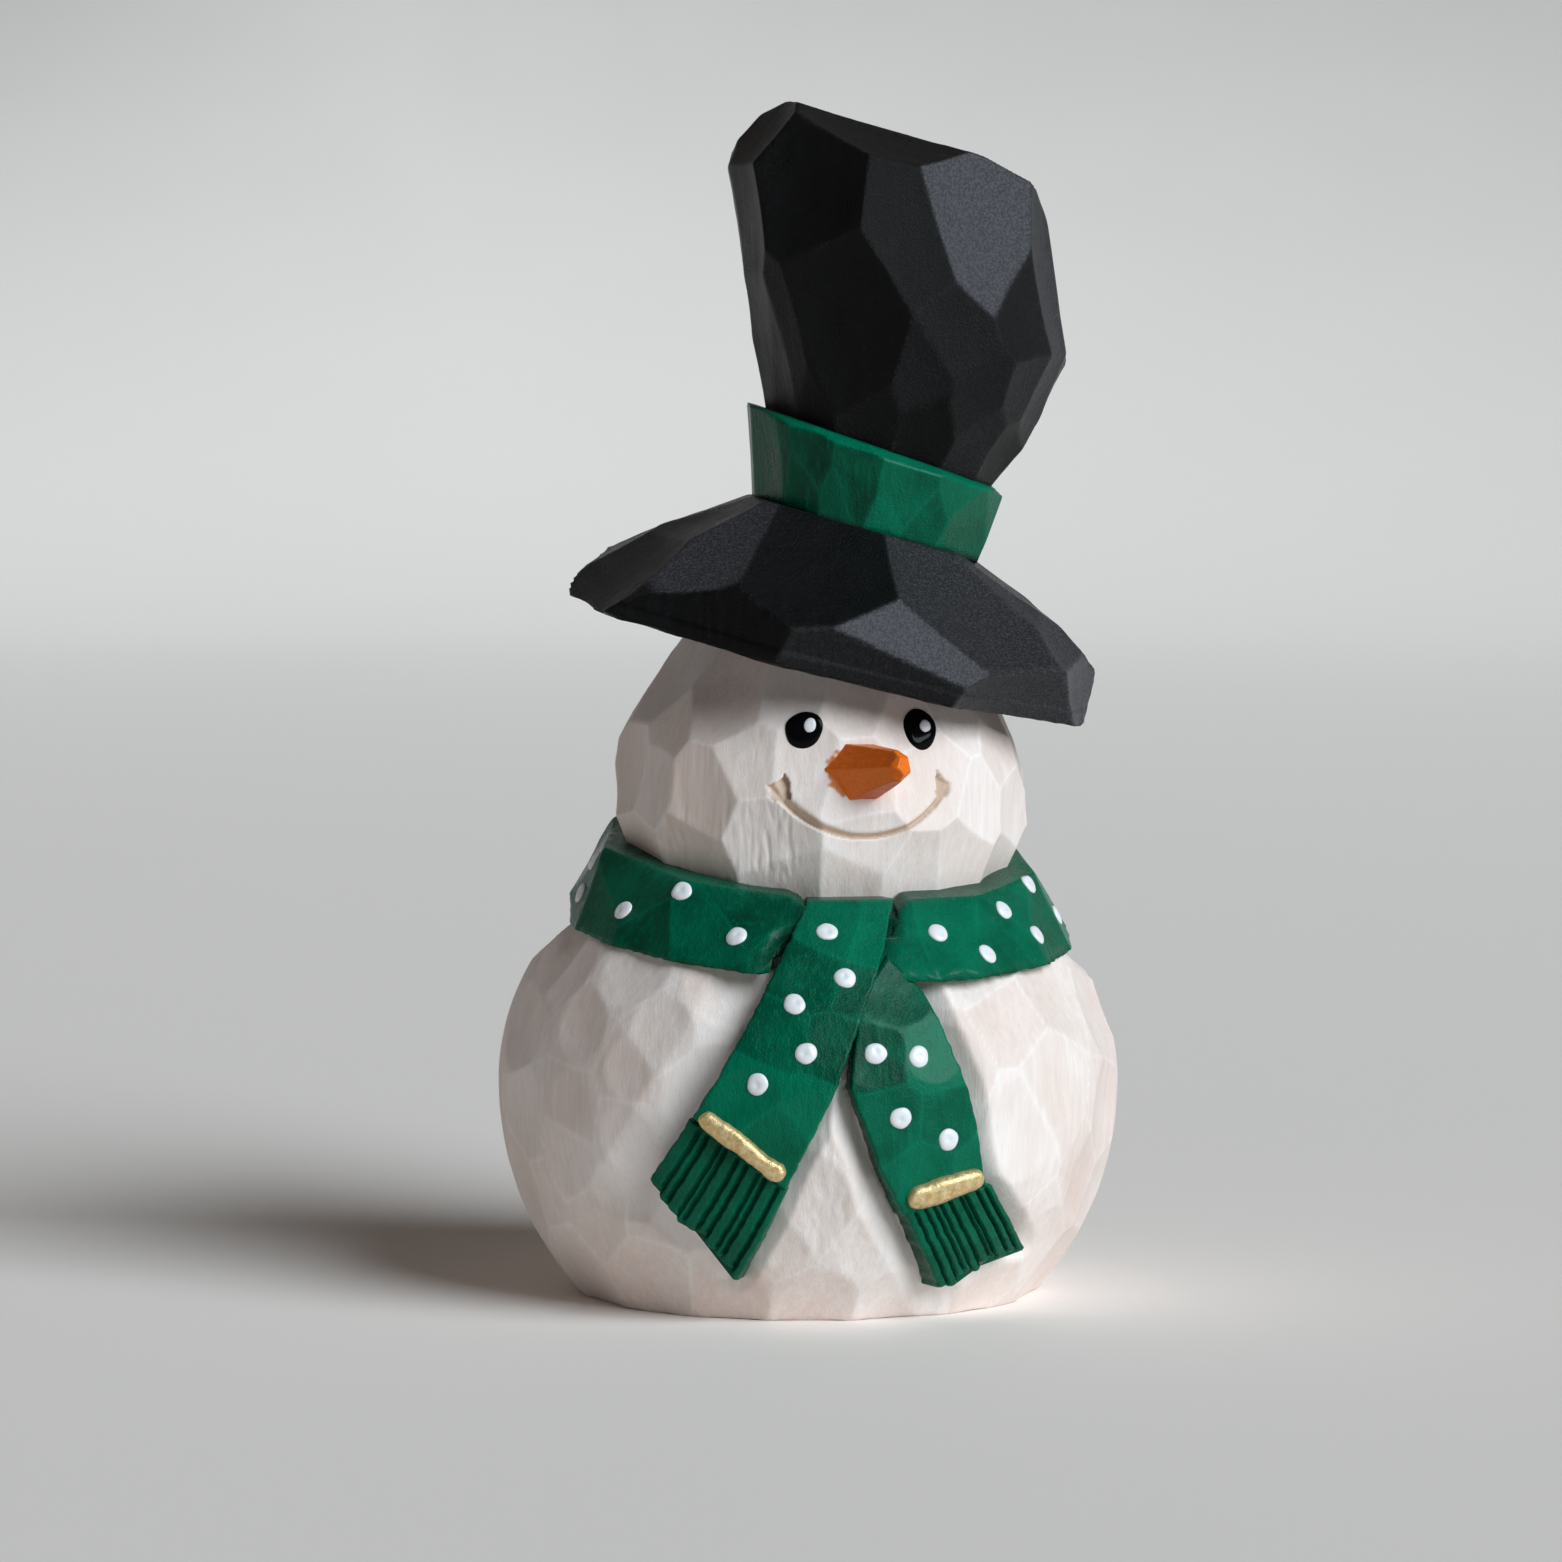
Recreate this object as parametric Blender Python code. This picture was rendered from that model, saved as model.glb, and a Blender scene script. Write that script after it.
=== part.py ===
"""Carved wooden snowman figure with a tall hat and a crossed scarf.

The figure looks along -Y and stands on the flat underside of its body, whose
centre is the origin. Every wooden form starts as a block that flat knife cuts
whittle down to a convex solid, so a form is kept as its list of cuts. Moving
every cut outwards by the same amount gives the clearance that a neighbour
needs, or the outer skin of a piece that lies on the form.
"""

import math
import random

import bmesh
import bpy
from mathutils import Matrix, Vector

MM = 0.001
TAU = 2.0 * math.pi

# ---------------------------------------------------------------- dimensions
GAP = 0.3 * MM                     # glue line left between neighbouring pieces
BLOCK = 400.0 * MM                 # side of the block that each form starts as
HAT_TURN = math.radians(-12.0)     # hat and scarf are set askew to the face

BODY_RADIUS = 39.4 * MM
BODY_WAIST = 26.5 * MM             # height of the widest place
BODY_DROP = 39.5 * MM              # semi-axis of the ellipse below the waist
BODY_RISE = 33.6 * MM              # semi-axis of the ellipse above the waist
BODY_LEVELS = (0.0, 8.0, 18.5, 29.5, 39.5, 50.0)
BODY_CUTS = (15, 16, 16, 15, 13)

HEAD_RADIUS = 25.8 * MM
HEAD_CENTRE = Vector((1.6, -0.3, 61.5)) * MM
HEAD_DROP = 24.0 * MM
HEAD_RISE = 26.5 * MM
HEAD_LEVELS = (50.3, 57.5, 65.0, 72.5, 83.0)
HEAD_CUTS = (11, 12, 12, 10)

BRIM_SEAT = (80.6, -0.256, 0.05)   # height on the axis and slopes of the underside
BAND_SEAT = (98.2, -0.280)         # where the band stands on the brim
HAT_SEAT = (109.7, -0.343)         # where the crown stands on the band
HAT_TOP = (149.2, -0.290)
BRIM_CUTS = (16, 15, 11)
BAND_CUTS = (11, 11)
HAT_CUTS = (9, 10, 9, 10, 9, 8)

SCARF_HEM = (46.5, -0.056, 0.107)  # height and slopes of the wrap's lower edge
SCARF_TOP = (56.2, -0.073, 0.158)  # height and slopes of the wrap's upper edge
SCARF_CUTS = (15, 14)
TAIL_PROUD = 2.0 * MM              # tail above the body
UNDER_TAIL_PROUD = 1.4 * MM
TAIL_OVER_WRAP = 0.7 * MM          # upper tail above the wrap that it crosses
STRIPE_PROUD = 1.1 * MM
FRINGE_PROUD = 1.5 * MM
GROOVE_DEPTH = 0.55 * MM
GROOVE_HALF_WIDTH = 0.42 * MM
GROOVE_OVERRUN = 3.0 * MM          # how far the V tool runs past both ends
TOOL_RISE = 4.0                    # how many groove depths the V tool is tall
PRISM_START = 8.0 * MM             # in front of the axis, inside every form
PRISM_RUN = 60.0 * MM

DOT_RADIUS = 1.3 * MM
DOT_HEIGHT = 0.6 * MM
EYE_RADIUS = 2.35 * MM
EYE_HEIGHT = 1.0 * MM
EYE_TURN = math.radians(18.5)
EYE_LEVEL = 72.0 * MM
GLINT_RADIUS = 0.75 * MM
GLINT_HEIGHT = 0.3 * MM
GLINT_SHIFT = Vector((0.6, 0.0, 0.3)) * MM
GLINT_LEAN = 0.23                  # lean of the glint per millimetre of its shift

NOSE_ROOT = Vector((1.5, -25.0, 67.0)) * MM
NOSE_TURN = math.radians(22.0)     # the carrot points past the figure's left
NOSE_LIFT = math.radians(4.0)
NOSE_LENGTH = 8.6 * MM
NOSE_ROOT_RADIUS = 3.5 * MM
NOSE_TIP_RADIUS = 1.7 * MM
NOSE_SINK = 1.5 * MM               # how far the root reaches into the face before trimming
NOSE_WAIST = (0.86, 0.5)           # share of the root radius, at this share of the length
NOSE_CUTS = (7, 6)
TENON_RADIUS = 1.8 * MM
TENON_LENGTH = 8.0 * MM
TENON_OVERLAP = 3.0 * MM           # how far the tenon runs on inside the carrot

SMILE_CENTRE = (1.5, 72.4)         # (x, z) of the arc's centre, in millimetres
SMILE_RADIUS = 13.5
SMILE_REACH = 57.0                 # degrees to each side of straight down
SMILE_STATIONS = 15
SMILE_TICKS = (((-10.3, 64.0), (-7.9, 66.4)), ((13.2, 64.6), (11.2, 66.6)))
SMILE_DEPTH = 0.7 * MM
SMILE_HALF_WIDTH = 0.5 * MM

NECK_DOWEL_RADIUS = 4.0 * MM
NECK_DOWEL_LENGTH = 26.0 * MM
HAT_DOWEL_RADIUS = 4.0 * MM
HAT_DOWEL_FOOT = Vector((2.5, 0.0, 66.0)) * MM
HAT_DOWEL_HEAD = Vector((9.4, 0.0, 124.0)) * MM

# Outlines on the front of the body, as (x, z) in millimetres.
OVER_TAIL = ((-6.0, 51.6), (-11.2, 44.2), (-16.1, 36.2), (-22.0, 26.2),
             (-11.3, 17.4), (-5.4, 29.7), (-1.9, 37.9), (2.3, 45.8), (4.8, 51.6))
UNDER_TAIL = ((2.6, 45.3), (6.6, 40.9), (8.7, 36.5), (11.6, 29.2), (13.7, 20.5),
              (14.6, 17.2), (3.5, 13.9), (0.1, 20.0), (-3.6, 29.7), (-1.9, 38.0))
OVER_FRINGE = ((-22.2, 25.4), (-26.7, 17.5), (-15.6, 5.8), (-11.4, 16.7))
UNDER_FRINGE = ((3.7, 13.2), (9.4, 4.0), (20.8, 8.6), (14.8, 16.4))
OVER_STRIPE = ((-21.7, 26.8), (-21.2, 25.9), (-12.1, 18.4), (-11.4, 18.9),
               (-12.0, 20.0), (-20.8, 27.3))
UNDER_STRIPE = ((3.3, 15.6), (4.2, 14.8), (13.6, 17.4), (14.2, 18.4), (13.5, 19.4),
                (3.6, 16.8))
FRINGE_GROOVES = 7

# Paint dots: on the tails as (x, z), on the wrap as (degrees from the front, z).
TAIL_DOTS = ((-4.4, 48.4), (-3.2, 42.9), (-9.7, 39.9), (-8.7, 34.0), (-14.6, 30.4))
UNDER_TAIL_DOTS = ((-0.2, 34.0), (5.0, 33.3), (2.6, 26.2), (8.8, 23.3))
WRAP_DOTS = ((-88, 55.0), (-87, 51.0), (-61, 49.9), (-45, 52.2), (-28, 47.5),
             (18, 47.8), (28, 44.9), (41, 50.0), (48, 46.6), (60, 52.2), (69, 48.2))
BACK_DOTS = 9                      # further dots round the back, in two staggered rows
BACK_DOT_SHARES = (0.66, 0.34)     # how far up the wrap the two rows run
BACK_DOT_SPAN = (92.0, 246.0)      # degrees round from the front
WRAP_INSIDE = 18.0 * MM            # distance from the axis that is inside the wrap all round


# ------------------------------------------------------------------- forms
def ring(left, right, front, back):
    """A closed section through its four outermost points, given in millimetres.

    left and right are (x, z); front and back are (y, z).
    """
    return tuple((across * MM, height * MM) for across, height in (left, right, front, back))


def hat_ring(left, right, half_depth):
    """A section of the hat, level from front to back."""
    middle = (left[1] + right[1]) / 2.0
    return ring(left, right, (-half_depth, middle), (half_depth, middle))


def round_ring(centre, radius, height):
    """A level round section; all in metres."""
    return ((centre.x - radius, height), (centre.x + radius, height),
            (centre.y - radius, height), (centre.y + radius, height))


def ring_point(section, turn):
    """The point of a section at a turn measured from the front towards +X."""
    (left_x, left_z), (right_x, right_z), (front_y, front_z), (back_y, back_z) = section
    side = math.sin(turn)
    fore = math.cos(turn)
    return Vector((
        (right_x + left_x) / 2.0 + side * (right_x - left_x) / 2.0,
        (back_y + front_y) / 2.0 - fore * (back_y - front_y) / 2.0,
        side * side * (right_z + left_z) / 2.0 + side * (right_z - left_z) / 2.0
        + fore * fore * (front_z + back_z) / 2.0 + fore * (front_z - back_z) / 2.0,
    ))


def egg_rings(centre, radius, waist, drop, rise, levels):
    """Level sections of a form that is half an ellipse above its waist and half below."""
    sections = []
    for level in levels:
        height = level * MM
        semi_axis = rise if height > waist else drop
        share = (height - waist) / semi_axis
        sections.append(round_ring(centre, radius * math.sqrt(1.0 - share * share), height))
    return sections


def knife_cuts(rings, counts, seed):
    """One flat cut per step round each band between two sections, as (normal, distance)."""
    chance = random.Random(seed)
    cuts = []
    for band, count in enumerate(counts):
        for step in range(count):
            turn = TAU * (step + 0.5 * (band % 2) + chance.uniform(-0.14, 0.14)) / count
            low = ring_point(rings[band], turn)
            high = ring_point(rings[band + 1], turn)
            across = (ring_point(rings[band], turn + 0.01) - ring_point(rings[band], turn - 0.01)
                      + ring_point(rings[band + 1], turn + 0.01)
                      - ring_point(rings[band + 1], turn - 0.01))
            normal = across.cross(high - low).normalized()
            depth = chance.uniform(0.0, 0.35) * MM
            cuts.append((normal, normal.dot((low + high) / 2.0) - depth))
    return cuts


def slope_cut(height, slope_x, slope_y=0.0, above=True, shift=0.0):
    """A cut along z = height + slope_x x + slope_y y, with height in millimetres.

    It removes what is above, or below, and shift moves it up, in metres.
    """
    normal = Vector((-slope_x, -slope_y, 1.0))
    distance = (height * MM + shift) / normal.length
    normal.normalize()
    return (normal, distance) if above else (-normal, -distance)


def turned(cuts, angle):
    """The same cuts, turned about the Z axis."""
    rotation = Matrix.Rotation(angle, 3, "Z")
    return [(rotation @ normal, distance) for normal, distance in cuts]


def grown(cuts, by):
    """The same form with every face moved outwards."""
    return [(normal, distance + by) for normal, distance in cuts]


def surface(cuts, origin, direction):
    """Where a line from inside a form leaves it, and the normal of that facet."""
    reach, facet = min(
        ((distance - normal.dot(origin)) / normal.dot(direction), tuple(normal))
        for normal, distance in cuts if normal.dot(direction) > 1e-6)
    return origin + direction * reach, Vector(facet)


# ------------------------------------------------------------------- pieces
def material(name, colour, roughness, metallic=0.0):
    made = bpy.data.materials.new(name)
    made.use_nodes = True
    shader = made.node_tree.nodes["Principled BSDF"]
    shader.inputs["Base Color"].default_value = (*colour, 1.0)
    shader.inputs["Roughness"].default_value = roughness
    shader.inputs["Metallic"].default_value = metallic
    return made


def add_object(name, bm, finish=None, smooth=False):
    """Turns a finished bmesh into an object; one with no finish is a cutter."""
    bmesh.ops.recalc_face_normals(bm, faces=bm.faces[:])
    mesh = bpy.data.meshes.new(name)
    bm.to_mesh(mesh)
    bm.free()
    if smooth:
        mesh.shade_smooth()
        mesh.set_sharp_from_angle(angle=math.radians(35.0))
    made = bpy.data.objects.new(name, mesh)
    bpy.context.collection.objects.link(made)
    if finish:
        mesh.materials.append(finish)
    else:
        made.hide_render = True
        made.display_type = "WIRE"
    return made


def whittled(cuts):
    """The block that the cuts leave."""
    bm = bmesh.new()
    bmesh.ops.create_cube(bm, size=BLOCK)
    for normal, distance in cuts:
        geometry = bm.verts[:] + bm.edges[:] + bm.faces[:]
        bmesh.ops.bisect_plane(bm, geom=geometry, dist=1e-7, plane_co=normal * distance,
                               plane_no=normal, clear_outer=True)
        bmesh.ops.holes_fill(bm, edges=[edge for edge in bm.edges if edge.is_boundary], sides=0)
    bmesh.ops.dissolve_degenerate(bm, dist=0.02 * MM, edges=bm.edges[:])
    return bm


def front_prism(outline, grow=0.0):
    """An (x, z) outline run from the middle of the figure out through its front."""
    corners = [Vector(point) * MM for point in outline]
    area = sum(a.x * b.y - b.x * a.y for a, b in zip(corners, corners[1:] + corners[:1]))
    outward = math.copysign(1.0, area)
    bm = bmesh.new()
    verts = []
    for index, corner in enumerate(corners):
        before = (corner - corners[index - 1]).normalized()
        after = (corners[(index + 1) % len(corners)] - corner).normalized()
        normal_before = Vector((before.y, -before.x)) * outward
        normal_after = Vector((after.y, -after.x)) * outward
        mitre = (normal_before + normal_after) / (1.0 + normal_before.dot(normal_after))
        moved = corner + mitre * grow
        verts.append(bm.verts.new((moved.x, -PRISM_START, moved.y)))
    face = bm.faces.new(verts)
    made = bmesh.ops.extrude_face_region(bm, geom=[face])
    run = [item for item in made["geom"] if isinstance(item, bmesh.types.BMVert)]
    bmesh.ops.translate(bm, verts=run, vec=(0.0, -PRISM_RUN, 0.0))
    return bm


def rod(foot, head, radius, segments=24):
    """A round rod between two points."""
    axis = head - foot
    bm = bmesh.new()
    place = Matrix.Translation((foot + head) / 2.0) @ axis.to_track_quat("Z", "Y").to_matrix().to_4x4()
    bmesh.ops.create_cone(bm, cap_ends=True, segments=segments, radius1=radius, radius2=radius,
                          depth=axis.length, matrix=place)
    return bm


def dome(seat, normal, radius, height, segments=14):
    """A low round drop with a flat back, standing on a seat."""
    bm = bmesh.new()
    place = Matrix.Translation(seat) @ normal.to_track_quat("Z", "Y").to_matrix().to_4x4()
    rim_height = 0.3 * height
    loops = []
    for share, lift in ((1.0, 0.0), (1.0, rim_height), (0.62, 0.82 * height)):
        loop = []
        for step in range(segments):
            turn = TAU * step / segments
            local = Vector((radius * share * math.cos(turn), radius * share * math.sin(turn), lift))
            loop.append(bm.verts.new(place @ local))
        loops.append(loop)
    top = bm.verts.new(place @ Vector((0.0, 0.0, height)))
    bm.faces.new(reversed(loops[0]))
    for lower, upper in zip(loops, loops[1:]):
        for step in range(segments):
            after = (step + 1) % segments
            bm.faces.new((lower[step], lower[after], upper[after], upper[step]))
    for step in range(segments):
        bm.faces.new((loops[-1][step], loops[-1][(step + 1) % segments], top))
    return bm


def groove(name, path, outwards, depth, half_width):
    """The V tool that cuts a groove along a path, with an outward direction at each point."""
    bm = bmesh.new()
    stations = []
    for index, point in enumerate(path):
        course = path[min(index + 1, len(path) - 1)] - path[max(index - 1, 0)]
        sideways = course.cross(outwards[index]).normalized()
        keel = point - outwards[index] * depth
        rail = keel + outwards[index] * depth * TOOL_RISE
        spread = sideways * half_width * TOOL_RISE
        stations.append([bm.verts.new(corner) for corner in (keel, rail - spread, rail + spread)])
    bm.faces.new(stations[0])
    bm.faces.new(reversed(stations[-1]))
    for near, far in zip(stations, stations[1:]):
        for step in range(3):
            after = (step + 1) % 3
            bm.faces.new((near[step], far[step], far[after], near[after]))
    return add_object(f"cutter_{name}", bm)


def combine(target, tool, operation="DIFFERENCE"):
    modifier = target.modifiers.new(tool.name, "BOOLEAN")
    modifier.operation = operation
    modifier.solver = "EXACT"
    modifier.object = tool


for leftover in list(bpy.data.objects):
    bpy.data.objects.remove(leftover, do_unlink=True)

SNOW = material("snow_wash", (0.62, 0.53, 0.47), 0.62)
BLACK = material("black_paint", (0.012, 0.012, 0.014), 0.42)
GREEN = material("green_paint", (0.0, 0.115, 0.052), 0.33)
ORANGE = material("orange_paint", (0.66, 0.13, 0.01), 0.4)
GOLD = material("gold_paint", (0.62, 0.42, 0.12), 0.36, 0.85)
WHITE = material("white_enamel", (0.82, 0.84, 0.86), 0.3)
GLOSS = material("black_enamel", (0.004, 0.004, 0.005), 0.08)
DOWEL = material("plain_dowel", (0.56, 0.38, 0.22), 0.7)

# ---------------------------------------------------------------- the forms
ORIGIN = Vector((0.0, 0.0, 0.0))
FORWARDS = Vector((0.0, -1.0, 0.0))
body_cuts = knife_cuts(
    egg_rings(ORIGIN, BODY_RADIUS, BODY_WAIST, BODY_DROP, BODY_RISE, BODY_LEVELS), BODY_CUTS, 3)
body_cuts += [slope_cut(BODY_LEVELS[-1], 0.0), slope_cut(0.0, 0.0, above=False)]

brim_seat = turned([slope_cut(*BRIM_SEAT, shift=-GAP)], HAT_TURN)
head_cuts = knife_cuts(
    egg_rings(HEAD_CENTRE, HEAD_RADIUS, HEAD_CENTRE.z, HEAD_DROP, HEAD_RISE, HEAD_LEVELS),
    HEAD_CUTS, 11)
head_cuts += [slope_cut(HEAD_LEVELS[0], 0.0, above=False)] + brim_seat

brim_rings = (
    hat_ring((-29.9, 88.2), (34.8, 71.8), 30.0),
    hat_ring((-30.3, 90.4), (38.0, 78.0), 31.5),
    hat_ring((-22.6, 96.2), (31.4, 84.9), 25.0),
    hat_ring((-7.8, 101.0), (20.8, 92.9), 15.0),
)
brim_cuts = turned(
    knife_cuts(brim_rings, BRIM_CUTS, 5)
    + [slope_cut(*BRIM_SEAT, above=False), slope_cut(*BAND_SEAT, shift=-GAP)], HAT_TURN)

band_rings = (
    hat_ring((-7.6, 100.4), (20.8, 92.6), 14.6),
    hat_ring((-8.0, 105.0), (24.2, 97.8), 15.8),
    hat_ring((-8.2, 112.6), (24.1, 101.5), 16.2),
)
band_cuts = turned(
    knife_cuts(band_rings, BAND_CUTS, 8)
    + [slope_cut(*BAND_SEAT, above=False), slope_cut(*HAT_SEAT, shift=-GAP)], HAT_TURN)

crown_rings = (
    hat_ring((-6.6, 112.8), (23.2, 102.0), 14.6),
    hat_ring((-8.0, 118.2), (28.8, 109.5), 16.8),
    hat_ring((-8.8, 125.5), (32.6, 118.8), 18.4),
    hat_ring((-10.4, 134.5), (31.8, 127.0), 18.8),
    hat_ring((-11.6, 141.7), (30.4, 134.4), 18.2),
    hat_ring((-9.4, 147.0), (28.2, 139.0), 16.0),
    hat_ring((-2.8, 150.3), (20.8, 143.6), 10.0),
)
crown_cuts = turned(
    knife_cuts(crown_rings, HAT_CUTS, 21)
    + [slope_cut(*HAT_SEAT, above=False), slope_cut(*HAT_TOP)], HAT_TURN)

wrap_rings = (
    ring((-30.9, 48.4), (33.8, 44.8), (-35.7, 43.0), (31.6, 50.0)),
    ring((-29.6, 51.9), (30.9, 50.2), (-32.7, 47.0), (29.8, 54.0)),
    ring((-25.0, 58.7), (27.4, 54.9), (-28.2, 51.6), (26.0, 60.4)),
)
wrap_sides = turned(knife_cuts(wrap_rings, SCARF_CUTS, 14), HAT_TURN)
wrap_cuts = wrap_sides + turned([slope_cut(*SCARF_HEM, above=False), slope_cut(*SCARF_TOP)],
                                HAT_TURN)
tail_top = turned([slope_cut(*SCARF_TOP, shift=0.2 * MM)], HAT_TURN)
over_skin = grown(body_cuts, TAIL_PROUD) + grown(wrap_sides, TAIL_OVER_WRAP) + tail_top
under_skin = grown(body_cuts, UNDER_TAIL_PROUD)

# ------------------------------------------------------ body, head and hat
snow_body = add_object("snow_body", whittled(body_cuts), SNOW)
snow_head = add_object("snow_head", whittled(head_cuts), SNOW)
hat_brim = add_object("hat_brim", whittled(brim_cuts), BLACK)
hat_band = add_object("hat_band", whittled(band_cuts), GREEN)
hat_crown = add_object("hat_crown", whittled(crown_cuts), BLACK)

neck_middle = Vector((0.8 * MM, 0.0, BODY_LEVELS[-1] * MM + GAP / 2.0))
neck_half = Vector((0.0, 0.0, NECK_DOWEL_LENGTH / 2.0))
end_gap = Vector((0.0, 0.0, GAP))
add_object("neck_dowel", rod(neck_middle - neck_half, neck_middle + neck_half, NECK_DOWEL_RADIUS),
           DOWEL, smooth=True)
neck_bore = add_object(
    "cutter_neck_bore",
    rod(neck_middle - neck_half - end_gap, neck_middle + neck_half + end_gap,
        NECK_DOWEL_RADIUS + GAP))

hat_turn = Matrix.Rotation(HAT_TURN, 3, "Z")
hat_foot = hat_turn @ HAT_DOWEL_FOOT
hat_head = hat_turn @ HAT_DOWEL_HEAD
along = (hat_head - hat_foot).normalized()
add_object("hat_dowel", rod(hat_foot, hat_head, HAT_DOWEL_RADIUS), DOWEL, smooth=True)
hat_bore = add_object(
    "cutter_hat_bore",
    rod(hat_foot - along * GAP, hat_head + along * GAP, HAT_DOWEL_RADIUS + GAP))

for piece in (snow_body, snow_head):
    combine(piece, neck_bore)
for piece in (snow_head, hat_brim, hat_band, hat_crown):
    combine(piece, hat_bore)

# ------------------------------------------------------------ nose and eyes
nose_axis = Vector((math.sin(NOSE_TURN) * math.cos(NOSE_LIFT),
                    -math.cos(NOSE_TURN) * math.cos(NOSE_LIFT), math.sin(NOSE_LIFT)))
nose_frame = Matrix.Translation(NOSE_ROOT) @ nose_axis.to_track_quat("Z", "Y").to_matrix().to_4x4()
nose_rings = (
    round_ring(ORIGIN, NOSE_ROOT_RADIUS, -NOSE_SINK),
    round_ring(ORIGIN, NOSE_WAIST[0] * NOSE_ROOT_RADIUS, NOSE_WAIST[1] * NOSE_LENGTH),
    round_ring(ORIGIN, NOSE_TIP_RADIUS, NOSE_LENGTH),
)
nose_bm = whittled(knife_cuts(nose_rings, NOSE_CUTS, 2)
                   + [slope_cut(0.0, 0.0, shift=NOSE_LENGTH),
                      slope_cut(0.0, 0.0, above=False, shift=-NOSE_SINK)])
nose_bm.transform(nose_frame)
carrot_nose = add_object("carrot_nose", nose_bm, ORANGE)
head_clear = add_object("cutter_head_clear", whittled(grown(head_cuts, GAP)))
tenon_end = NOSE_ROOT - nose_axis * TENON_LENGTH
tenon_start = NOSE_ROOT + nose_axis * TENON_OVERLAP
tenon = add_object("cutter_tenon", rod(tenon_end, tenon_start, TENON_RADIUS, 16))
socket = add_object("cutter_nose_socket",
                    rod(tenon_end - nose_axis * GAP, tenon_start, TENON_RADIUS + GAP, 16))
combine(carrot_nose, head_clear)
combine(carrot_nose, tenon, "UNION")
combine(snow_head, socket)

smile = []
for station in range(SMILE_STATIONS):
    turn = math.radians(SMILE_REACH) * (2.0 * station / (SMILE_STATIONS - 1) - 1.0)
    smile.append((SMILE_CENTRE[0] + SMILE_RADIUS * math.sin(turn),
                  SMILE_CENTRE[1] - SMILE_RADIUS * math.cos(turn)))
for number, stroke in enumerate((smile, *SMILE_TICKS), 1):
    path = [surface(head_cuts, Vector((x, 0.0, z)) * MM, FORWARDS)[0] for x, z in stroke]
    outwards = [(point - HEAD_CENTRE).normalized() for point in path]
    combine(snow_head,
            groove(f"smile_{number}", path, outwards, SMILE_DEPTH, SMILE_HALF_WIDTH))

head_axis_at_eyes = Vector((HEAD_CENTRE.x, HEAD_CENTRE.y, EYE_LEVEL))
for side, turn in (("right", -EYE_TURN), ("left", EYE_TURN)):
    outward = Vector((math.sin(turn), -math.cos(turn), 0.0))
    seat, facing = surface(head_cuts, head_axis_at_eyes, outward)
    eye_seat = seat + facing * GAP
    add_object(f"eye_{side}", dome(eye_seat, facing, EYE_RADIUS, EYE_HEIGHT), GLOSS, smooth=True)
    glint_lean = (facing + GLINT_SHIFT * GLINT_LEAN / MM).normalized()
    glint_seat = eye_seat + facing * (EYE_HEIGHT + GAP) + GLINT_SHIFT
    add_object(f"eye_glint_{side}", dome(glint_seat, glint_lean, GLINT_RADIUS, GLINT_HEIGHT, 10),
               WHITE, smooth=True)

# -------------------------------------------------------------------- scarf
body_clear = add_object("cutter_body_clear", whittled(grown(body_cuts, GAP)))
over_tail_clear = add_object("cutter_over_tail_clear", front_prism(OVER_TAIL, GAP))
wrap_clear = add_object("cutter_wrap_clear", whittled(grown(wrap_cuts, GAP)))

scarf_wrap = add_object("scarf_wrap", whittled(wrap_cuts), GREEN)
for tool in (body_clear, head_clear, over_tail_clear):
    combine(scarf_wrap, tool)


def lying_piece(name, outline, skin, finish, tools):
    """A piece with a given outline between the form that it lies on and a skin over it."""
    made = add_object(name, front_prism(outline), finish)
    combine(made, add_object(f"cutter_{name}_skin", whittled(skin)), "INTERSECT")
    for clearance in tools:
        combine(made, clearance)
    return made


lying_piece("scarf_tail_over", OVER_TAIL, over_skin, GREEN, (body_clear, head_clear))
lying_piece("scarf_tail_under", UNDER_TAIL, under_skin, GREEN,
            (body_clear, over_tail_clear, wrap_clear))


def fringe(name, outline, finish):
    """The cut end of a tail; the outline runs down its left side and up its right side."""
    skin = grown(body_cuts, FRINGE_PROUD)
    made = lying_piece(name, outline, skin, finish, (body_clear,))
    top_left, low_left, low_right, top_right = (Vector((x, 0.0, z)) * MM for x, z in outline)
    for number in range(1, FRINGE_GROOVES + 1):
        share = number / (FRINGE_GROOVES + 1)
        start, start_facing = surface(skin, top_left.lerp(top_right, share), FORWARDS)
        end, end_facing = surface(skin, low_left.lerp(low_right, share), FORWARDS)
        overrun = (end - start).normalized() * GROOVE_OVERRUN
        outward = (start_facing + end_facing).normalized()
        combine(made, groove(f"{name}_groove_{number}", (start - overrun, end + overrun),
                             (outward, outward), GROOVE_DEPTH, GROOVE_HALF_WIDTH))


fringe("fringe_over", OVER_FRINGE, GREEN)
fringe("fringe_under", UNDER_FRINGE, GREEN)

for name, outline, skin in (("gold_stripe_over", OVER_STRIPE, grown(body_cuts, TAIL_PROUD)),
                            ("gold_stripe_under", UNDER_STRIPE, under_skin)):
    stripe_clear = add_object(f"cutter_{name}_clear", whittled(grown(skin, GAP)))
    lying_piece(name, outline, grown(skin, STRIPE_PROUD), GOLD, (stripe_clear,))

# --------------------------------------------------------------- paint dots
dot_seats = []
for skin, places in ((over_skin, TAIL_DOTS), (under_skin, UNDER_TAIL_DOTS)):
    for x, z in places:
        dot_seats.append(surface(skin, Vector((x, 0.0, z)) * MM, FORWARDS))

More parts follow.
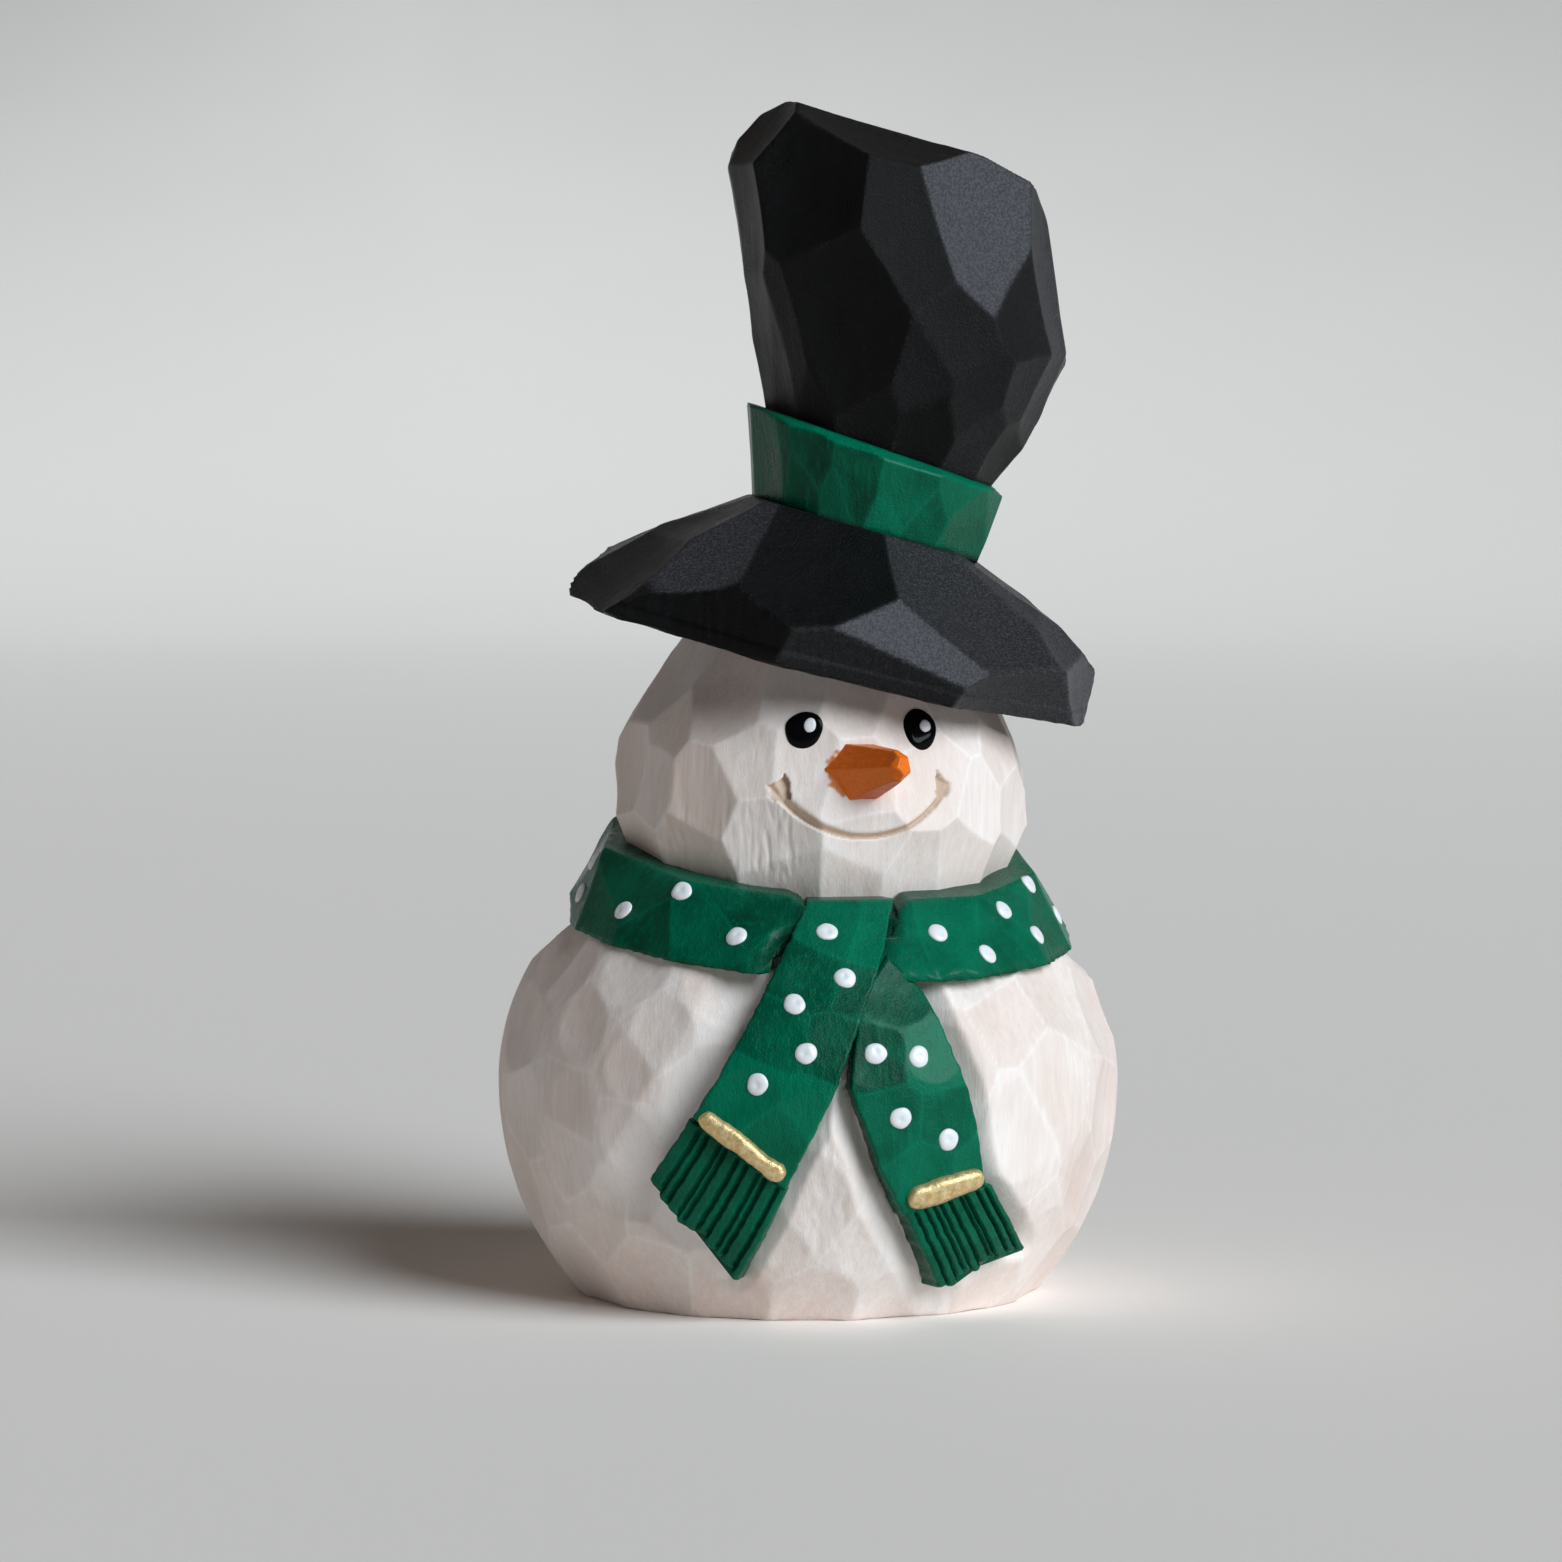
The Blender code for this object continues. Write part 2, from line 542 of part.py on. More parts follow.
for degrees, z in WRAP_DOTS:
    turn = math.radians(degrees)
    outward = Vector((math.sin(turn), -math.cos(turn), 0.0))
    inside = outward * WRAP_INSIDE + Vector((0.0, 0.0, z * MM))
    dot_seats.append(surface(wrap_cuts, inside, outward))
for number in range(BACK_DOTS):
    first, last = BACK_DOT_SPAN
    turn = math.radians(first + (last - first) * (number + 0.5) / BACK_DOTS)
    share = BACK_DOT_SHARES[number % 2]
    hem, top = (ring_point(wrap_rings[index], turn - HAT_TURN) for index in (0, -1))
    outward = Vector((math.sin(turn), -math.cos(turn), 0.0))
    inside = outward * WRAP_INSIDE + Vector((0.0, 0.0, hem.z + share * (top.z - hem.z)))
    dot_seats.append(surface(wrap_cuts, inside, outward))

for number, (seat, facing) in enumerate(dot_seats, 1):
    add_object(f"scarf_dot_{number:02d}", dome(seat + facing * GAP, facing, DOT_RADIUS, DOT_HEIGHT),
               WHITE, smooth=True)
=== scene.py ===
"""Looks of the carved wooden snowman figure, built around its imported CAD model.

Each wooden form is carved here the way a whittler does it. Rays leave the inside of a
form and stop at the first knife or gouge cut that they meet, so the facets, their
scalloped borders and the ridges between them are real geometry. Paint, wash and bare
wood follow from how a point was cut, through attributes that the materials read.

Lengths are millimetres until a mesh is made. Turns are degrees round the Z axis, from
the front (-Y) towards +X. The hat and the scarf are set out in a frame of their own,
turned by HAT_TURN, and brought into the figure's frame once they are carved.
"""
import itertools
import math

import bpy
import numpy as np
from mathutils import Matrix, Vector
from mathutils.bvhtree import BVHTree


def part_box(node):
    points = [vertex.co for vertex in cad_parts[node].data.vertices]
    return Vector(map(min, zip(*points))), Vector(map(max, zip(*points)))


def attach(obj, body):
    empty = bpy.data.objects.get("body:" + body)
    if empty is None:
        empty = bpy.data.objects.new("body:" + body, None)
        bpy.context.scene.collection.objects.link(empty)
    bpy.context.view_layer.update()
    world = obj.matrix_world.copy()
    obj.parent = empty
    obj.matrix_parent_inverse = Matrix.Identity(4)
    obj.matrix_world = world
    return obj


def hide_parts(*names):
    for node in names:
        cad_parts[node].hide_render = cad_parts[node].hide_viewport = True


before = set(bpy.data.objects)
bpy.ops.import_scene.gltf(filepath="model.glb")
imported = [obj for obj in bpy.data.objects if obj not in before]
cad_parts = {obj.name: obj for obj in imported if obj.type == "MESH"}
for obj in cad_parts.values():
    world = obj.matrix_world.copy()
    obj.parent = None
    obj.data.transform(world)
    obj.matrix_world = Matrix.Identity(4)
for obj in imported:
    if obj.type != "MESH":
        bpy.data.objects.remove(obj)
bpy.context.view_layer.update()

MM = 0.001
TAU = 2.0 * math.pi
UP = np.array((0.0, 0.0, 1.0))
HAT_TURN = -12.0

# ------------------------------------------------------------ sizes of the forms
BODY = {"centre": (0.0, 0.0), "radius": 39.4, "waist": 26.5, "drop": 39.5, "rise": 33.6}
HEAD = {"centre": (1.6, -0.3), "radius": 25.8, "waist": 61.5, "drop": 24.0, "rise": 26.5}
BODY_TOP = 50.0
HEAD_FOOT = 50.3
BRIM_SEAT = (80.6, -0.256, 0.05)     # height on the axis, then slopes along X and Y
BAND_SEAT = (98.2, -0.280, 0.0)
HAT_SEAT = (109.7, -0.343, 0.0)
HAT_TOP = (149.2, -0.290, 0.0)
BRIM_MIDDLE = 4.0                    # how far the brim's middle is from the axis
SCARF_HEM = (46.5, -0.056, 0.107)
SCARF_TOP = (56.2, -0.073, 0.158)
LAP = 0.35                           # how far a piece is let into the one that it stands on

# A section through its left and right (x, z) and its front and back (y, z).
BRIM_RINGS = (((-29.9, 88.2), (34.8, 71.8), (-30.0, 80.0), (30.0, 80.0)),
              ((-30.3, 90.4), (38.0, 78.0), (-31.5, 84.2), (31.5, 84.2)),
              ((-22.6, 96.2), (31.4, 84.9), (-25.0, 90.5), (25.0, 90.5)),
              ((-7.8, 101.0), (20.8, 92.9), (-15.0, 97.0), (15.0, 97.0)))
BAND_RINGS = (((-7.6, 100.4), (20.8, 92.6), (-14.6, 96.5), (14.6, 96.5)),
              ((-8.0, 105.0), (24.2, 97.8), (-15.8, 101.4), (15.8, 101.4)),
              ((-8.2, 112.6), (24.1, 101.5), (-16.2, 107.0), (16.2, 107.0)))
CROWN_RINGS = (((-5.8, 113.0), (23.2, 102.0), (-14.4, 107.4), (14.4, 107.4)),
               ((-7.1, 118.6), (28.4, 108.4), (-16.6, 113.6), (16.6, 113.6)),
               ((-7.6, 125.0), (32.4, 118.6), (-18.2, 121.8), (18.2, 121.8)),
               ((-8.9, 134.0), (31.5, 126.9), (-18.6, 130.4), (18.6, 130.4)),
               ((-10.2, 141.7), (30.4, 134.4), (-18.0, 138.0), (18.0, 138.0)),
               ((-8.2, 147.2), (28.0, 139.0), (-15.8, 143.1), (15.8, 143.1)),
               ((-2.8, 149.9), (20.6, 143.0), (-10.0, 146.6), (10.0, 146.6)))
WRAP_RINGS = (((-30.9, 48.4), (33.8, 44.8), (-35.7, 43.0), (31.6, 50.0)),
              ((-29.6, 51.9), (30.9, 50.2), (-32.7, 47.0), (29.8, 54.0)),
              ((-25.0, 58.7), (27.4, 54.9), (-28.2, 51.6), (26.0, 60.4)))

# Where the cuts sit that show on the front, as (turn, height).
BODY_CUTS = ((-72, 43.3), (-61, 36.1), (-50, 41.8), (-41, 36.6), (-28, 41.3), (-47, 30.5),
             (-59, 27.3), (-81, 35.3), (-79, 24.5), (-48, 22.9), (-60, 18.6), (-56, 11.5),
             (-75, 12.9), (-74, 4.3), (-48, 3.4), (-31, 3.3), (-41, 12.6), (-30, 28.0),
             (-84, 15.0), (-78, 45.0), (-15, 30.0), (-9, 44.0), (8, 45.0), (0, 36.0),
             (-20, 12.0), (-11, 17.8), (0, 9.7), (-9, 3.3), (10, 2.4), (2, 25.0), (14, 32.0),
             (28, 38.3), (30, 22.0), (39, 27.6), (46, 40.5), (62, 36.8), (53, 16.0), (33, 4.4),
             (60, 4.0), (44, 8.5), (64, 25.5), (27, 46.0), (64, 14.0), (12, 14.0), (22, 12.0))
HEAD_CUTS = ((-69, 72.1), (-47, 77.1), (-22, 77.5), (-34, 69.8), (-70, 64.5), (-46, 62.9),
             (-27, 59.2), (-53, 56.2), (-24, 53.8), (-4, 53.6), (3, 57.4), (35, 55.3),
             (40, 62.5), (52, 69.8), (-2, 65.3), (0, 75.8), (37, 75.4), (60, 76.0),
             (18, 54.2), (22, 67.5), (-17, 69.0), (14, 73.0), (-80, 56.0), (62, 60.0),
             (58, 53.5), (-82, 77.5), (-84, 66.5))

# Outlines of the facets that show on the hat, as (x, z) in the hat's frame.
CROWN_FACETS = (
    ((-8.0, 147.1), (-10.1, 141.3), (-7.3, 142.4), (-6.1, 145.4), (-1.5, 146.5), (-2.9, 149.8)),
    ((-10.1, 141.3), (-8.9, 136.2), (-7.8, 129.0), (-6.9, 126.1), (-6.5, 139.1), (-7.3, 142.4)),
    ((-7.2, 125.8), (-7.0, 118.8), (-5.3, 112.8), (-2.6, 112.2), (-4.2, 115.4), (-4.3, 122.6)),
    ((-1.5, 146.5), (1.2, 148.4), (8.1, 147.1), (17.9, 144.4), (20.8, 142.5), (18.3, 141.1),
     (6.9, 144.3), (1.8, 144.4)),
    ((-6.1, 145.4), (-1.5, 146.5), (1.8, 144.4), (6.9, 144.3), (9.3, 129.6), (0.3, 132.1),
     (-2.3, 132.4), (-6.5, 139.1)),
    ((6.9, 144.3), (18.3, 141.1), (18.3, 134.0), (19.0, 128.6), (13.5, 125.2), (9.3, 129.6)),
    ((18.3, 141.1), (20.8, 142.5), (28.5, 138.7), (26.8, 133.4), (24.1, 123.7), (19.0, 128.6)),
    ((28.5, 137.2), (29.3, 120.3), (24.1, 123.7), (26.5, 130.8)),
    ((28.5, 138.7), (30.9, 134.3), (31.7, 124.5), (30.2, 117.6), (29.3, 120.3), (29.5, 132.7)),
    ((-2.3, 132.4), (5.9, 131.2), (9.3, 129.6), (13.5, 125.2), (13.5, 121.1), (9.6, 116.8),
     (-0.1, 119.8), (-2.7, 124.5)),
    ((13.5, 125.2), (19.0, 128.6), (24.1, 123.7), (22.0, 117.3), (15.9, 117.3), (13.5, 121.1)))
BRIM_FACETS = (
    ((-27.5, 91.9), (-23.5, 95.7), (-17.9, 97.6), (-7.7, 100.5), (-5.6, 98.4), (-20.0, 94.9),
     (-22.9, 92.3)),
    ((-22.9, 92.1), (-20.0, 94.9), (-5.6, 98.4), (-3.5, 92.7), (-9.0, 90.6), (-19.1, 89.8)),
    ((-30.1, 89.8), (-27.5, 92.1), (-22.9, 92.3), (-19.1, 89.8), (-21.0, 88.1)),
    ((-19.1, 89.8), (-11.5, 90.2), (-7.7, 87.7), (-1.4, 84.7), (-4.0, 82.2), (-20.8, 84.1)),
    ((-5.6, 98.4), (3.6, 96.5), (9.5, 94.4), (9.5, 88.1), (5.3, 87.3), (-1.4, 84.7),
     (-9.0, 90.6)),
    ((-1.4, 83.7), (2.4, 86.2), (13.7, 84.5), (21.7, 80.3), (17.5, 78.0), (9.5, 80.7)),
    ((-4.0, 82.2), (4.5, 82.4), (9.5, 80.7), (18.6, 76.5), (23.0, 74.0), (8.9, 77.8),
     (-1.6, 78.0)),
    ((9.5, 94.4), (17.1, 91.5), (32.2, 82.2), (32.7, 78.9), (21.7, 80.3), (13.7, 84.5)),
    ((32.2, 82.2), (37.9, 78.6), (34.8, 71.9), (32.7, 78.9)),
    ((20.0, 92.5), (23.4, 90.2), (31.0, 85.0), (32.2, 82.2), (25.5, 88.1), (17.1, 91.5)),
    ((32.7, 78.9), (34.4, 73.0), (22.4, 77.4), (21.7, 80.3)))

# How light each of those facets is painted, from 0 to 1: a painted sheen that stands for the key's
# reflection.
CROWN_TONES = (0.35, 0.3, 0.3, 0.3, 0.0, 0.2, 0.95, 0.25, 0.65, 0.05, 0.25)
# Lower down the crown, the turn, the level in its sections and the painted sheen of each cut.
CROWN_FOOT = ((-64, 0.6, 0.3), (-50, 1.0, 0.35), (-38, 0.3, 0.1), (-18, 1.15, 0.05), (-8, 0.4, 0.2),
              (8, 1.3, 0.25), (18, 0.45, 0.0), (33, 1.2, 0.3), (44, 0.5, 0.4), (58, 1.35, 0.45),
              (66, 0.6, 0.3), (76, 1.3, 0.5))
# How light each of the brim's facets is painted, from 0 to 1: a painted sheen.
BRIM_TONES = (0.6, 0.7, 0.5, 0.1, 0.2, 1.0, 0.35, 0.6, 0.95, 0.7, 0.6)

# Outlines of the forms from the front, in the hat's frame: runs of cuts that show edge on, as
# the points that they meet at and how hollow each cut is.
BODY_PROFILE = (
    (((-30.5, 45.0), (-37.6, 40.2), (-39.3, 31.7), (-39.0, 20.1), (-37.3, 13.0), (-35.1, 7.5),
      (-28.6, -0.8)), (0.1, 0.1, 0.1, 0.1, 0.1, 0.2)),
    (((29.5, 44.6), (35.5, 39.8), (38.9, 31.2), (39.3, 22.6), (37.5, 13.5), (34.4, 6.9),
      (28.6, -0.9)), (0.2, 0.2, 0.1, 0.1, 0.1, 0.2)))
HEAD_PROFILE = (
    (((-15.5, 84.0), (-20.9, 75.0), (-23.8, 70.1), (-24.4, 66.6), (-23.9, 60.6), (-20.5, 51.0)),
     (0.1, 0.1, 0.0, 0.2, 0.2)),
    (((22.5, 77.0), (25.6, 69.6), (27.3, 64.0), (27.8, 58.9), (24.0, 51.0)), (0.1, 0.1, 0.1, 0.1)))
CROWN_PROFILE = (
    (((-5.3, 111.0), (-6.9, 118.0), (-10.1, 141.7), (-8.1, 147.3), (-2.8, 149.9)),
     (0.1, 0.45, 0.0, 0.0)),
    (((1.4, 150.1), (8.2, 147.3), (20.6, 143.0), (28.5, 138.8), (30.9, 134.4), (31.4, 126.7),
      (32.5, 118.3), (28.4, 107.7), (22.4, 101.0)), (0.0, 0.1, 0.0, 0.0, 0.1, 0.0, 0.1, 0.1)))
WRAP_PROFILE = ((((-24.0, 59.4), (-30.3, 50.5)), (0.1,)), (((-30.3, 50.7), (-28.3, 46.4)), (0.0,)),
                (((27.0, 55.7), (33.0, 45.1)), (0.1,)), (((33.0, 45.3), (31.3, 42.3)), (0.0,)))
BRIM_PROFILE = (
    (((-8.0, 100.6), (-17.9, 97.3), (-27.5, 92.0), (-30.2, 89.9), (-29.6, 86.0)),
     (0.1, 0.1, 0.0, 0.0)),
    (((20.0, 92.7), (31.3, 84.7), (37.8, 78.5), (34.8, 71.4)), (0.1, 0.1, 0.0)))

# Outlines that lie on the front of the body, as (x, z): the left edge of each strip and
# its right edge, both from the top down.
OVER_LEFT = ((-6.0, 51.6), (-8.6, 47.9), (-11.2, 44.2), (-16.1, 36.2), (-22.0, 26.2))
OVER_RIGHT = ((4.8, 51.6), (2.3, 45.8), (-1.9, 37.9), (-5.4, 29.7), (-11.3, 17.4))
UNDER_LEFT = ((-1.9, 40.0), (-3.6, 29.7), (0.1, 20.0), (3.5, 13.9))
UNDER_RIGHT = ((2.6, 45.3), (6.6, 40.9), (8.7, 36.5), (11.6, 29.2), (13.7, 20.5), (14.6, 17.2))
OVER_FRINGE = (((-22.2, 26.0), (-26.7, 17.5)), ((-11.0, 17.4), (-15.6, 5.8)))
UNDER_FRINGE = (((3.5, 14.4), (9.4, 4.0)), ((14.9, 17.4), (20.8, 8.6)))
OVER_STRIPE = ((-21.4, 26.6), (-11.8, 19.1), 1.1)     # two ends and half a width
UNDER_STRIPE = ((3.9, 15.9), (13.7, 18.5), 1.5)
TAIL_PROUD = 2.0
UNDER_TAIL_PROUD = 1.4
FRINGE_PROUD = 1.5
STRIPE_PROUD = 1.1
TAIL_OVER_WRAP = 0.7

# Grooves cut into the body along the tails, as a path, half a width and a depth.
TRENCHES = (
    (OVER_LEFT + OVER_FRINGE[0][1:], 4.8, 2.0), (OVER_FRINGE[0][1:] + OVER_FRINGE[1][1:], 2.4, 0.9),
    (OVER_RIGHT[2:] + OVER_FRINGE[1][1:], 2.4, 1.7), (UNDER_LEFT + UNDER_FRINGE[0][1:], 3.8, 2.2),
    (UNDER_RIGHT + UNDER_FRINGE[1][1:], 2.3, 2.5),
    (UNDER_FRINGE[0][1:] + UNDER_FRINGE[1][1:], 1.8, 0.8))
# How far the body may reach outside its smooth form, and below 0 how far it stays inside:
# in the open, what is added to that under the scarf's wrap, and under the scarf's tails.
OPEN_MARGIN = -0.17
WRAP_MARGIN = -1.6
TAIL_MARGIN = -0.6

EYE_SHIFT = (0.35, 0.4)              # how far the paint sits right of and above the CAD drops
SMILE_CENTRE = (1.5, 72.4)
SMILE_RADIUS = 13.5
SMILE_REACH = 58.5                   # degrees that the groove runs to each side of straight down
# Turns along the groove, with the width of its sloping wall, and with its depth.
SMILE_SLOPE = ((-57, -35, -5, 30, 57), (1.35, 1.25, 0.75, 0.65, 0.75))
SMILE_DEEP = ((-60, -54, 0, 52, 60), (0.3, 0.8, 0.62, 0.62, 0.3))
# The chip cut at each end of the mouth, as an outline, its deep edge and the width of its slope.
SMILE_CHIPS = (
    (((-10.4, 64.2), (-8.0, 66.7), (-7.4, 65.6), (-7.5, 63.7), (-9.4, 63.4)),
     ((-8.0, 66.7), (-7.45, 65.4), (-7.6, 63.6)), 2.6),
    (((13.3, 64.5), (11.2, 67.0), (11.1, 63.9), (12.3, 63.6)), ((11.2, 67.0), (11.1, 63.9)), 2.2))

NOSE_ROOT = (1.5, -25.0, 67.0)
NOSE_TURN = 22.0
NOSE_RISE = 8.0
NOSE_LENGTH = 8.6
PEG_RADIUS = 1.8
# Cuts round the nose and round its tip, as degrees round its axis and a tone; the tip's high tones are a
# painted highlight.
NOSE_SIDES = ((-98, 0.05), (-50, 0.4), (0, 0.4), (44, 0.8), (90, 0.5), (146, 0.2), (206, 0.75))
NOSE_TIP = ((-60, 0.95), (10, 1.0), (75, 1.0), (150, 0.6), (240, 0.3))

OVER_DOTS, UNDER_DOTS, WRAP_DOTS = 5, 4, 20

# Zones of torn grain, as (turn, half turn, height, half height), then their depth and a seed.
BODY_TEARS = (((-4.0, 11.0, 19.0, 13.0), 0.10, 41), ((42.0, 12.0, 21.0, 10.0), 0.12, 43))
HEAD_TEARS = (((-28.0, 15.0, 58.5, 5.5), 0.13, 51), ((-62.0, 14.0, 62.0, 7.0), 0.12, 53))

HASH = (73856093, 19349663, 83492791, 7919, 1274126177)     # odd numbers that scramble a place
BATCH = 16384                        # rays that are carried at once
CREST = 0.08                         # how far down from a ridge its wear is felt
GRAZING = 0.03                       # a ray that closes in on a cut by less than this misses it
DEEPEST_BOW = 12.0                   # how far a cut may bow outwards
OUT_OF_REACH = 90.0                  # where a ray ends for a cut that it misses
FRONT = (-100.0, 100.0)              # turns between which the outlined facets lie


# ------------------------------------------------------------------ small tools
def unit(vectors):
    return vectors / np.linalg.norm(vectors, axis=-1, keepdims=True)


def turned(points, degrees=HAT_TURN):
    """Points or vectors turned about the Z axis."""
    angle = math.radians(degrees)
    matrix = np.array(((math.cos(angle), -math.sin(angle), 0.0),
                       (math.sin(angle), math.cos(angle), 0.0), (0.0, 0.0, 1.0)))
    return points @ matrix.T


def noise(points, size, seed):
    """Smooth noise from -1 to 1 with cells of that size; size may differ along X, Y and Z."""
    cells = points / np.asarray(size, float)
    low = np.floor(cells).astype(np.int64)
    share = cells - low
    share = share * share * (3.0 - 2.0 * share)
    total = np.zeros(len(points))
    for corner in itertools.product((0, 1), repeat=3):
        place = low + np.array(corner)
        key = place[:, 0] * HASH[0] ^ place[:, 1] * HASH[1] ^ place[:, 2] * HASH[2] ^ seed * HASH[3]
        key = (key ^ (key >> 13)) * HASH[4]
        value = ((key ^ (key >> 16)) & 0xFFFF) / 32767.5 - 1.0
        weight = np.where(np.array(corner) == 1, share, 1.0 - share).prod(axis=1)
        total += weight * value
    return total


def path_distance(x, z, path):
    """Distance of each point (x, z) from an open path."""
    best = np.full(np.shape(x), 1e9)
    for (ax, az), (bx, bz) in zip(path, path[1:]):
        run_x, run_z = bx - ax, bz - az
        share = ((x - ax) * run_x + (z - az) * run_z) / (run_x * run_x + run_z * run_z)
        share = np.clip(share, 0.0, 1.0)
        best = np.minimum(best, np.hypot(x - ax - share * run_x, z - az - share * run_z))
    return best


def along_path(path, shares):
    """Points at even shares of a path's length."""
    path = np.array(path, float)
    steps = np.hypot(*np.diff(path, axis=0).T)
    marks = np.concatenate(((0.0,), np.cumsum(steps))) / steps.sum()
    return np.stack([np.interp(shares, marks, path[:, k]) for k in (0, 1)], axis=-1)


# --------------------------------------------------------------- smooth surfaces
def egg_radius(form, height):
    """Radius of a form that is half an ellipse above its waist and half below."""
    semi = np.where(height > form["waist"], form["rise"], form["drop"])
    share = np.clip((height - form["waist"]) / semi, -0.98, 0.98)
    return form["radius"] * np.sqrt(1.0 - share * share)


def egg(form):
    """The surface of such a form, as a function of turn and height."""
    def surface(turn, height):
        radius = egg_radius(form, height)
        angle = np.radians(turn)
        return np.stack((form["centre"][0] + radius * np.sin(angle),
                         form["centre"][1] - radius * np.cos(angle), height + 0.0 * angle), -1)
    return surface


def loft(rings):
    """The surface through a stack of sections, as a function of turn and level in the stack."""
    table = np.array(rings, float)

    def surface(turn, level):
        turn, level = np.broadcast_arrays(np.asarray(turn, float), np.asarray(level, float))
        spots = np.arange(len(table))
        left, right, front, back = (
            np.stack([np.interp(level, spots, table[:, side, k]) for k in (0, 1)], -1)
            for side in range(4))
        side = np.sin(np.radians(turn))
        fore = np.cos(np.radians(turn))
        return np.stack((
            (right[..., 0] + left[..., 0]) / 2.0 + side * (right[..., 0] - left[..., 0]) / 2.0,
            (back[..., 0] + front[..., 0]) / 2.0 - fore * (back[..., 0] - front[..., 0]) / 2.0,
            side * side * (right[..., 1] + left[..., 1]) / 2.0
            + side * (right[..., 1] - left[..., 1]) / 2.0
            + fore * fore * (front[..., 1] + back[..., 1]) / 2.0
            + fore * (front[..., 1] - back[..., 1]) / 2.0), -1)
    return surface


def facing(surface, turn, level):
    """Outward unit normal of a surface."""
    step = 0.05
    across = surface(turn + 1.0, level) - surface(turn - 1.0, level)
    rise = surface(turn, level + step) - surface(turn, level - step)
    return unit(np.cross(across, rise))


# ---------------------------------------------------------------------- carving
class Cuts:
    """The cuts that a form is carved with.

    A cut is a plane with an outward normal that is bowed outwards away from its
    middle, as a gouge or a rolled knife leaves it: bends are 1 / (2 radius) along the
    stroke and across it. Tone is a share, random unless given, that sets how light a
    cut is painted: a painted sheen on the black hat, painted shade and highlight where
    tones are given on the band, the wrap and the nose, and random variation elsewhere.
    """

    def __init__(self, seed, tones=(0.0, 1.0)):
        self.chance = np.random.default_rng(seed)
        self.tones = tones
        self.rows = []

    def add(self, point, normal, stroke=UP, bends=(0.0, 0.0), tone=None):
        normal = unit(np.asarray(normal, float))
        across = unit(np.cross(stroke, normal))
        along = np.cross(normal, across)
        tone = self.chance.uniform(*self.tones) if tone is None else tone
        self.rows.append((np.asarray(point, float), normal, along, across, *bends, tone))

    def slope(self, height, slope_x, slope_y, above=True, shift=0.0):
        """A flat cut along z = height + slope_x x + slope_y y that keeps what is below, or above."""
        normal = np.array((-slope_x, -slope_y, 1.0)) * (1.0 if above else -1.0)
        self.add((0.0, 0.0, height + shift), normal, stroke=(0.0, 1.0, 0.0), tone=0.5)

    def scoops(self, surface, places, roundness, radii, lean=40.0, tilt=2.0, depth=1.0, tones=None):
        """A gouge cut at each (turn, level), as deep as its distance from its neighbours asks."""
        places = np.array(places, float)
        points = surface(places[:, 0], places[:, 1])
        normals = facing(surface, places[:, 0], places[:, 1])
        gaps = np.linalg.norm(points[:, None] - points[None], axis=-1)
        reach = np.sort(gaps, axis=1)[:, 1:6].mean(axis=1) / 2.0
        tones = [None] * len(points) if tones is None else tones
        for point, normal, half, tone in zip(points, normals, reach, tones):
            bends = 0.5 / np.array(radii) * self.chance.uniform(0.7, 1.3, 2)
            sink = half * half * (0.5 / roundness + bends.mean()) * depth
            sink *= self.chance.uniform(0.85, 1.2)
            angle = math.radians(self.chance.uniform(-lean, lean))
            across = unit(np.cross(UP, normal))
            stroke = np.cross(normal, across) * math.cos(angle) + across * math.sin(angle)
            tipped = normal + np.tan(math.radians(tilt)) * self.chance.uniform(-1.0, 1.0, 3)
            self.add(point - normal * sink, tipped, stroke, bends, tone)

    def profile(self, runs, core, roll):
        """A cut seen edge on from the front between neighbouring points (x, z) of runs, round a core."""
        pairs = [pair for points, hollows in runs for pair in zip(points, points[1:], hollows)]
        for (ax, az), (bx, bz), hollow in pairs:
            middle = np.array(((ax + bx) / 2.0, 0.0, (az + bz) / 2.0))
            length = math.hypot(bx - ax, bz - az)
            normal = np.array((az - bz, 0.0, bx - ax)) / length
            normal *= np.sign(normal @ (middle - (core[0], 0.0, core[1])))
            tip = self.chance.uniform(-0.07, 0.07)
            self.add(middle - normal * hollow, normal + (0.0, tip, 0.0), stroke=(bx - ax, 0.0, bz - az),
                     bends=(4.0 * hollow / length ** 2, roll))

    def facets(self, surface, outlines, radius, levels, tones, aims):
        """A cut through the corners of each outline (x, z), laid on the front of a surface.

        aims gives the facing (turn, rise) and the extra depth of the cuts made at another angle.
        """
        turn, level = np.meshgrid(np.linspace(*FRONT, 401), np.linspace(*levels, 401))
        grid = surface(turn.ravel(), level.ravel())
        for number, outline in enumerate(outlines):
            corners = np.array([
                grid[np.argmin((grid[:, 0] - x) ** 2 + (grid[:, 2] - z) ** 2)] for x, z in outline])
            middle = corners.mean(axis=0)
            normal = np.linalg.svd(corners - middle)[2][-1]
            normal *= np.sign(normal @ np.array((0.0, -1.0, 0.1)))
            if number in aims:
                turn, rise = np.radians(aims[number][:2])
                aim = (math.sin(turn) * math.cos(rise), -math.cos(turn) * math.cos(rise), math.sin(rise))
                normal = unit(normal + 1.6 * np.array(aim))
                middle = middle - normal * aims[number][2]
            spread = np.linalg.norm(corners - middle, axis=1).mean()
            bend = 0.5 / radius
            self.add(middle - normal * spread * spread * bend, normal, bends=(bend * 0.5, bend),
                     tone=tones[number])

    def turned(self):
        """The same cuts, turned from the hat's frame into the figure's."""
        made = Cuts(0)
        made.rows = [(*(turned(item) for item in row[:4]), *row[4:]) for row in self.rows]
        return made


